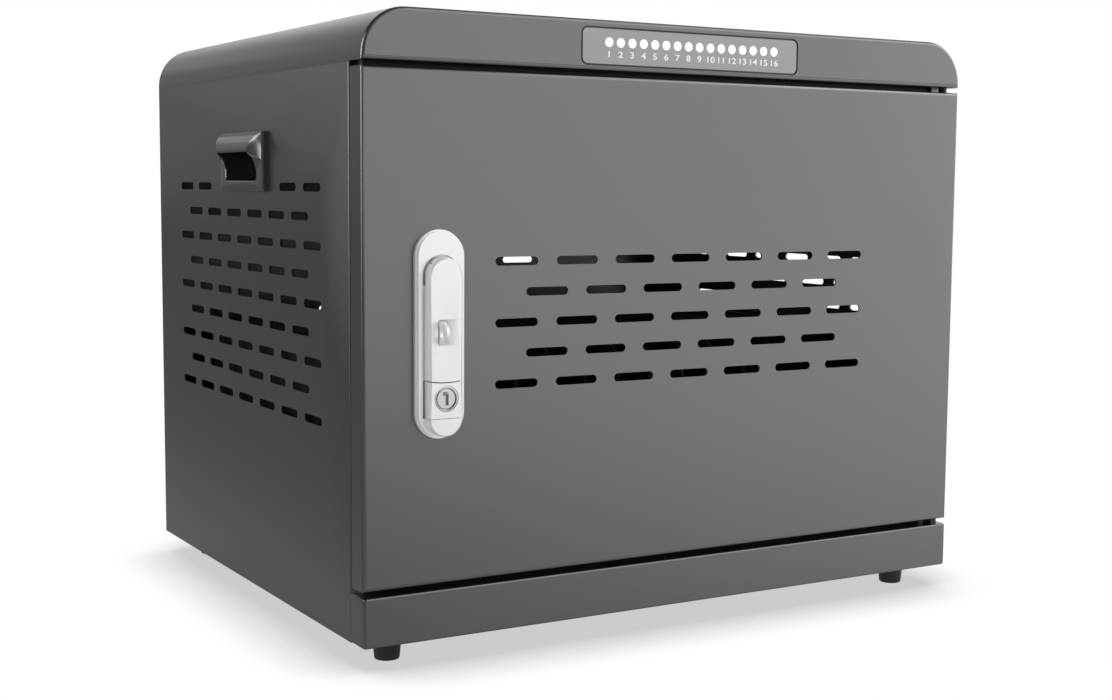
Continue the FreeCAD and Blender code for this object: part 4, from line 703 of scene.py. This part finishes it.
def add_cheek(shape, put, bow, root, lip, end, half_long):
    """One sloping end of the hood, which runs out along a crease to the flange."""
    below = [(lip[0] - GRIP_LIP * GRIP_CHEEK_SHARES[0], lip[1] - GRIP_LIP * GRIP_CHEEK_SHARES[1])]
    below += [(GRIP_FLANGE + rise, drop) for rise, drop in GRIP_CHEEK]
    section = bow + below + [(GRIP_FLANGE / 2, below[-1][1]), (GRIP_FLANGE / 2, root[1])]
    last = len(bow) - 1
    loops = []
    for k in range(GRIP_END_STEPS + 1):
        share = k / GRIP_END_STEPS
        along = end * (GRIP_MOUTH_HALF * GRIP_END_SHARE + (half_long - GRIP_MOUTH_HALF) * share)
        kept = last * (1 - share)
        crease = Vector(bow[round(kept)])
        foot = Vector(lip).lerp(Vector((GRIP_FLANGE - GRIP_SINK, GRIP_CREASE_END)), share)
        points = []
        for n, spot in enumerate(section):
            spot = Vector(spot)
            if kept < n <= last:
                spot = crease.lerp(foot, (n - kept) / (last - kept))
            elif last < n <= last + len(below):
                drop = (spot.y - GRIP_CREASE_END) * (n - last) / len(below)
                goal = Vector((GRIP_FLANGE - GRIP_SINK, GRIP_CREASE_END + drop))
                spot = spot.lerp(goal, share)
            points.append(put(spot.x, along, spot.y))
        loops.append(points)
    loft(shape, loops)


def build_grip(name, side):
    """Hooded grip: a flange with a rounded rim, a cup, and a bowed hood with sloping ends."""
    low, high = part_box(name)
    middle_y, middle_z = (low[1] + high[1]) / 2, (low[2] + high[2]) / 2
    half_long, half_tall = (high[1] - low[1]) / 2, (high[2] - low[2]) / 2
    reach = max(abs(low[0]), abs(high[0])) - HALF_WIDTH
    deep = HALF_WIDTH - min(abs(low[0]), abs(high[0]))
    root = (GRIP_FLANGE, half_tall - GRIP_ROUND)
    lip = (reach - GRIP_SINK, GRIP_LIP_UP)
    bow = arc_between(root, lip, GRIP_BOW, GRIP_BOW_STEPS)

    def put(out, along, up):
        return (side * (HALF_WIDTH + out), middle_y + along, middle_z + up)

    shape = bmesh.new()
    add_flange(shape, put, half_long, half_tall, deep)
    add_hood(shape, put, bow, lip)
    for end in (-1, 1):
        add_cheek(shape, put, bow, root, lip, end, half_long - GRIP_ROUND)
    stand_in_outward(name, shape, GRIP_SMOOTH)


def build_feet():
    """Turned rubber feet, rounded at the floor and flared a little at the top."""
    low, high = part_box("feet")
    tall = high[2] - low[2]
    profile = ((0.0, 0.0), (FOOT_BOTTOM - FOOT_ROUND, 0.0),
               (FOOT_BOTTOM - FOOT_ROUND * ARC_SHARE, FOOT_ROUND * ARC_SHARE),
               (FOOT_BOTTOM, FOOT_ROUND), (FOOT_TOP, tall - FOOT_ROUND), (FOOT_TOP, tall),
               (0.0, tall))
    shape = bmesh.new()
    for x in (low[0] + FOOT_TOP, high[0] - FOOT_TOP):
        for y in (low[1] + FOOT_TOP, high[1] - FOOT_TOP):
            loft(shape, [[(*spot, low[2] + up) for spot in circle((x, y), radius, FOOT_SIDES)]
                         for radius, up in profile])
    bmesh.ops.remove_doubles(shape, verts=shape.verts, dist=WELD)
    stand_in_outward("feet", shape, TURNED_SMOOTH)


def build_plate():
    """Indicator plate with a softened rim, a little smaller than its cut-out."""
    low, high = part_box("indicator_plate")
    half = ((high[0] - low[0]) / 2 - PLATE_GAP, (high[2] - low[2]) / 2 - PLATE_GAP)
    loops = []
    for y, inset in ((high[1], 0.0), (low[1] + BURR, 0.0),
                     (low[1] + BURR * ARC_SHARE, BURR * ARC_SHARE), (low[1], BURR)):
        points = rounded(front_middle(low, high), (half[0] - inset, half[1] - inset),
                         PLATE_CORNER - inset, PLATE_STEPS)
        loops.append([(x, y, z) for x, z in points])
    shape = bmesh.new()
    loft(shape, loops)
    stand_in_outward("indicator_plate", shape, LENS_SMOOTH)


def led_x(number):
    """X of an indicator, counted from 0 at the left."""
    return (number - (LED_COUNT - 1) / 2) * LED_PITCH


def build_indicators():
    """Sixteen low domed lenses."""
    low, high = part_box("indicator_leds")
    radius, proud = (high[2] - low[2]) / 2, high[1] - low[1]
    profile = [(radius * wide, high[1] - proud * out) for wide, out in LENS_SHARES]
    shape = bmesh.new()
    for number in range(LED_COUNT):
        turn(shape, (led_x(number), front_middle(low, high)[1]), profile, LENS_SIDES)
    bmesh.ops.remove_doubles(shape, verts=shape.verts, dist=WELD)
    stand_in_outward("indicator_leds", shape, LENS_SMOOTH)


def build_cylinder():
    """Ring of the key cylinder, with rounded front edges."""
    low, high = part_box("key_cylinder")
    plug_low, plug_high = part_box("key_plug")
    outer = (high[0] - low[0]) / 2
    bore = (plug_high[0] - plug_low[0]) / 2 + CYLINDER_GAP
    soft = CYLINDER_ROUND
    profile = ((outer, high[1]), (outer, low[1] + soft),
               (outer - soft * ARC_SHARE, low[1] + soft * ARC_SHARE), (outer - soft, low[1]),
               (bore + soft, low[1]), (bore, low[1] + soft), (bore, high[1]))
    shape = bmesh.new()
    rings = turn(shape, front_middle(low, high), profile, CYLINDER_SIDES, ends=False)
    skin(shape, rings[-1], rings[0])
    stand_in_outward("key_cylinder", shape, TURNED_SMOOTH)


def build_plug():
    """Plug of the key cylinder, with its hooked keyway."""
    centre = front_middle(*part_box("key_cylinder"))
    low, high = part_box("key_plug")
    radius = (high[0] - low[0]) / 2
    soft = CYLINDER_ROUND
    profile = ((radius, high[1]), (radius, low[1] + soft), (radius - soft, low[1]))
    shape = bmesh.new()
    rings = turn(shape, centre, profile, CYLINDER_SIDES, ends=False)
    shape.faces.new(rings[0][::-1])
    keyway = [shape.verts.new((centre[0] + x, low[1], centre[1] + z)) for x, z in KEYWAY]
    rim = [shape.edges.new((keyway[k - 1], keyway[k])) for k in range(len(keyway))]
    outline = [edge for edge in shape.edges if len(edge.link_faces) == 1
               and all(abs(v.co.y - low[1]) < WELD for v in edge.verts)]
    bmesh.ops.triangle_fill(shape, use_beauty=True, edges=rim + outline)
    floor = [shape.verts.new((corner.co.x, low[1] + KEYWAY_DEPTH, corner.co.z))
             for corner in keyway]
    skin(shape, keyway, floor)
    shape.faces.new(floor)
    stand_in_outward("key_plug", shape, PLUG_SMOOTH)


build_side("side_panel_left", -1)
build_side("side_panel_right", 1)
build_door()
build_fascia()
build_plinth()
build_back()
build_grip("side_handle_left", -1)
build_grip("side_handle_right", 1)
build_feet()
build_plate()
build_indicators()
build_cylinder()
build_plug()
for name, width in SOFT_EDGES.items():
    soften(name, width)


# Pieces that only the scene has

def build_bay_numbers():
    """The numbers 1 to 16 printed under the indicators."""
    joined = bmesh.new()
    for number in range(LED_COUNT):
        words = bpy.data.curves.new("number", "FONT")
        words.body = str(number + 1)
        words.size = NUMBER_SIZE
        words.align_x = "CENTER"
        words.align_y = "CENTER"
        words.extrude = PRINT_DEPTH
        words.offset = NUMBER_STROKE
        words.space_character = NUMBER_SPACING
        label = bpy.data.objects.new("number", words)
        scene.collection.objects.link(label)
        bpy.context.view_layer.update()
        mesh = bpy.data.meshes.new_from_object(label)
        place = Matrix.Translation((led_x(number), FRONT - PRINT_DEPTH, NUMBER_HEIGHT))
        stretch = Matrix.Diagonal((*NUMBER_STRETCH, 1.0))
        mesh.transform(place @ Matrix.Rotation(math.radians(90), 4, "X") @ stretch)
        joined.from_mesh(mesh)
        bpy.data.objects.remove(label)
        bpy.data.curves.remove(words)
        bpy.data.meshes.remove(mesh)
    mesh = bpy.data.meshes.new("bay_numbers")
    joined.to_mesh(mesh)
    joined.free()
    piece = bpy.data.objects.new("bay_numbers", mesh)
    scene.collection.objects.link(piece)
    mesh.materials.append(number_print_painted_glow)
    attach(piece, "cabinet")


build_bay_numbers()


# Floor, light and camera

def build_floor():
    """White floor with a painted shadow, soft grey close to the cabinet.

    Camera, transmission and glossy rays see it shine, glossy ones less on the left as a painted
    sheen, and to other rays it is matt paper.
    """
    mesh = bpy.data.meshes.new("floor")
    half = FLOOR_HALF
    mesh.from_pydata([(-half, -half, 0), (half, -half, 0), (half, half, 0), (-half, half, 0)], [],
                     [(0, 1, 2, 3)])
    floor = bpy.data.objects.new("floor", mesh)
    scene.collection.objects.link(floor)
    material = bpy.data.materials.new("floor")
    material.use_nodes = True
    tree = material.node_tree
    shader = tree.nodes["Principled BSDF"]
    shader.inputs["Base Color"].default_value = (FLOOR_COLOUR, FLOOR_COLOUR, FLOOR_COLOUR, 1)
    shader.inputs["Roughness"].default_value = 1.0
    shader.inputs["Specular IOR Level"].default_value = 0.0
    link = tree.links.new
    # Painted shadow: ambient occlusion dims the floor's glow close to the cabinet
    near = tree.nodes.new("ShaderNodeAmbientOcclusion")
    near.inputs["Distance"].default_value = SHADOW_REACH
    near.samples = SHADOW_SAMPLES
    shadow = new_range(tree, near.outputs["AO"], SHADOW_SPAN, (SHADOW_LEVEL, 1.0))
    # Painted sheen: glossy rays see the floor brighter towards the right
    across = tree.nodes.new("ShaderNodeSeparateXYZ")
    link(tree.nodes.new("ShaderNodeTexCoord").outputs["Object"], across.inputs["Vector"])
    share = new_range(tree, across.outputs["X"], FLOOR_SPAN, FLOOR_PAINTED_SHEEN)
    rays = tree.nodes.new("ShaderNodeLightPath")
    plain = new_math(tree, "MAXIMUM", rays.outputs["Is Camera Ray"],
                     rays.outputs["Is Transmission Ray"])
    lit = new_math(tree, "MAXIMUM", plain, share)
    glow = tree.nodes.new("ShaderNodeEmission")
    link(new_math(tree, "MULTIPLY", shadow, lit), glow.inputs["Strength"])
    seen = new_math(tree, "MAXIMUM", plain, rays.outputs["Is Glossy Ray"])
    either = tree.nodes.new("ShaderNodeMixShader")
    link(seen, either.inputs["Fac"])
    link(shader.outputs[0], either.inputs[1])
    link(glow.outputs[0], either.inputs[2])
    link(either.outputs[0], tree.nodes["Material Output"].inputs["Surface"])
    mesh.materials.append(material)


def build_world():
    """White to the camera; metal sees it white on the right, dark on the left and overhead."""
    world = bpy.data.worlds.new("studio")
    scene.world = world
    world.use_nodes = True
    tree = world.node_tree
    link = tree.links.new
    rays = tree.nodes.new("ShaderNodeLightPath")
    way = tree.nodes.new("ShaderNodeTexCoord").outputs["Generated"]
    side = tree.nodes.new("ShaderNodeVectorMath")
    side.operation = "DOT_PRODUCT"
    side.inputs[1].default_value = BRIGHT_SIDE
    link(way, side.inputs[0])
    upright = tree.nodes.new("ShaderNodeSeparateXYZ")
    link(way, upright.inputs["Vector"])
    walls = new_range(tree, side.outputs["Value"], BRIGHT_SPAN, (DARK_LEVEL, 1.0), "SMOOTHSTEP")
    ceiling = new_range(tree, upright.outputs["Z"], CEILING_SPAN, (1.0, DARK_LEVEL))
    room = new_math(tree, "MULTIPLY", walls, ceiling)
    metal = new_math(tree, "MULTIPLY", rays.outputs["Is Glossy Ray"], room)
    matt = new_math(tree, "MULTIPLY", rays.outputs["Is Diffuse Ray"], AMBIENT)
    plain = new_math(tree, "MAXIMUM", rays.outputs["Is Camera Ray"],
                     rays.outputs["Is Transmission Ray"])
    strength = new_math(tree, "MAXIMUM", plain, new_math(tree, "MAXIMUM", metal, matt))
    background = tree.nodes["Background"]
    background.inputs["Color"].default_value = (1, 1, 1, 1)
    link(strength, background.inputs["Strength"])


def add_softbox(name, place, target, width, height, power):
    """Rectangular lamp aimed at a target."""
    light = bpy.data.lights.new(name, "AREA")
    light.shape = "RECTANGLE"
    light.size = width
    light.size_y = height
    light.energy = power
    lamp = bpy.data.objects.new(name, light)
    lamp.location = place
    way = Vector(target) - Vector(place)
    lamp.rotation_euler = way.to_track_quat("-Z", "Y").to_euler()
    scene.collection.objects.link(lamp)


def build_camera():
    """Camera of the photograph, fitted to the cabinet's edges."""
    azimuth, elevation, roll = (
        math.radians(angle) for angle in (CAMERA_AZIMUTH, CAMERA_ELEVATION, CAMERA_ROLL))
    back = Vector((math.sin(azimuth) * math.cos(elevation),
                   -math.cos(azimuth) * math.cos(elevation), math.sin(elevation)))
    right = (-back).cross(Vector((0, 0, 1))).normalized()
    up = right.cross(-back)
    level_right = right * math.cos(roll) + up * math.sin(roll)
    level_up = up * math.cos(roll) - right * math.sin(roll)
    camera = bpy.data.cameras.new("camera")
    camera.sensor_fit = "HORIZONTAL"
    camera.sensor_width = CAMERA_SENSOR
    camera.lens = CAMERA_LENS
    rig = bpy.data.objects.new("camera", camera)
    aim = Matrix((level_right, level_up, back)).transposed().to_4x4()
    rig.matrix_world = Matrix.Translation(CAMERA_PLACE) @ aim
    scene.collection.objects.link(rig)
    scene.camera = rig


build_floor()
build_world()
for lamp in LAMPS:
    add_softbox(*lamp)
build_camera()
scene.view_settings.view_transform = "Standard"
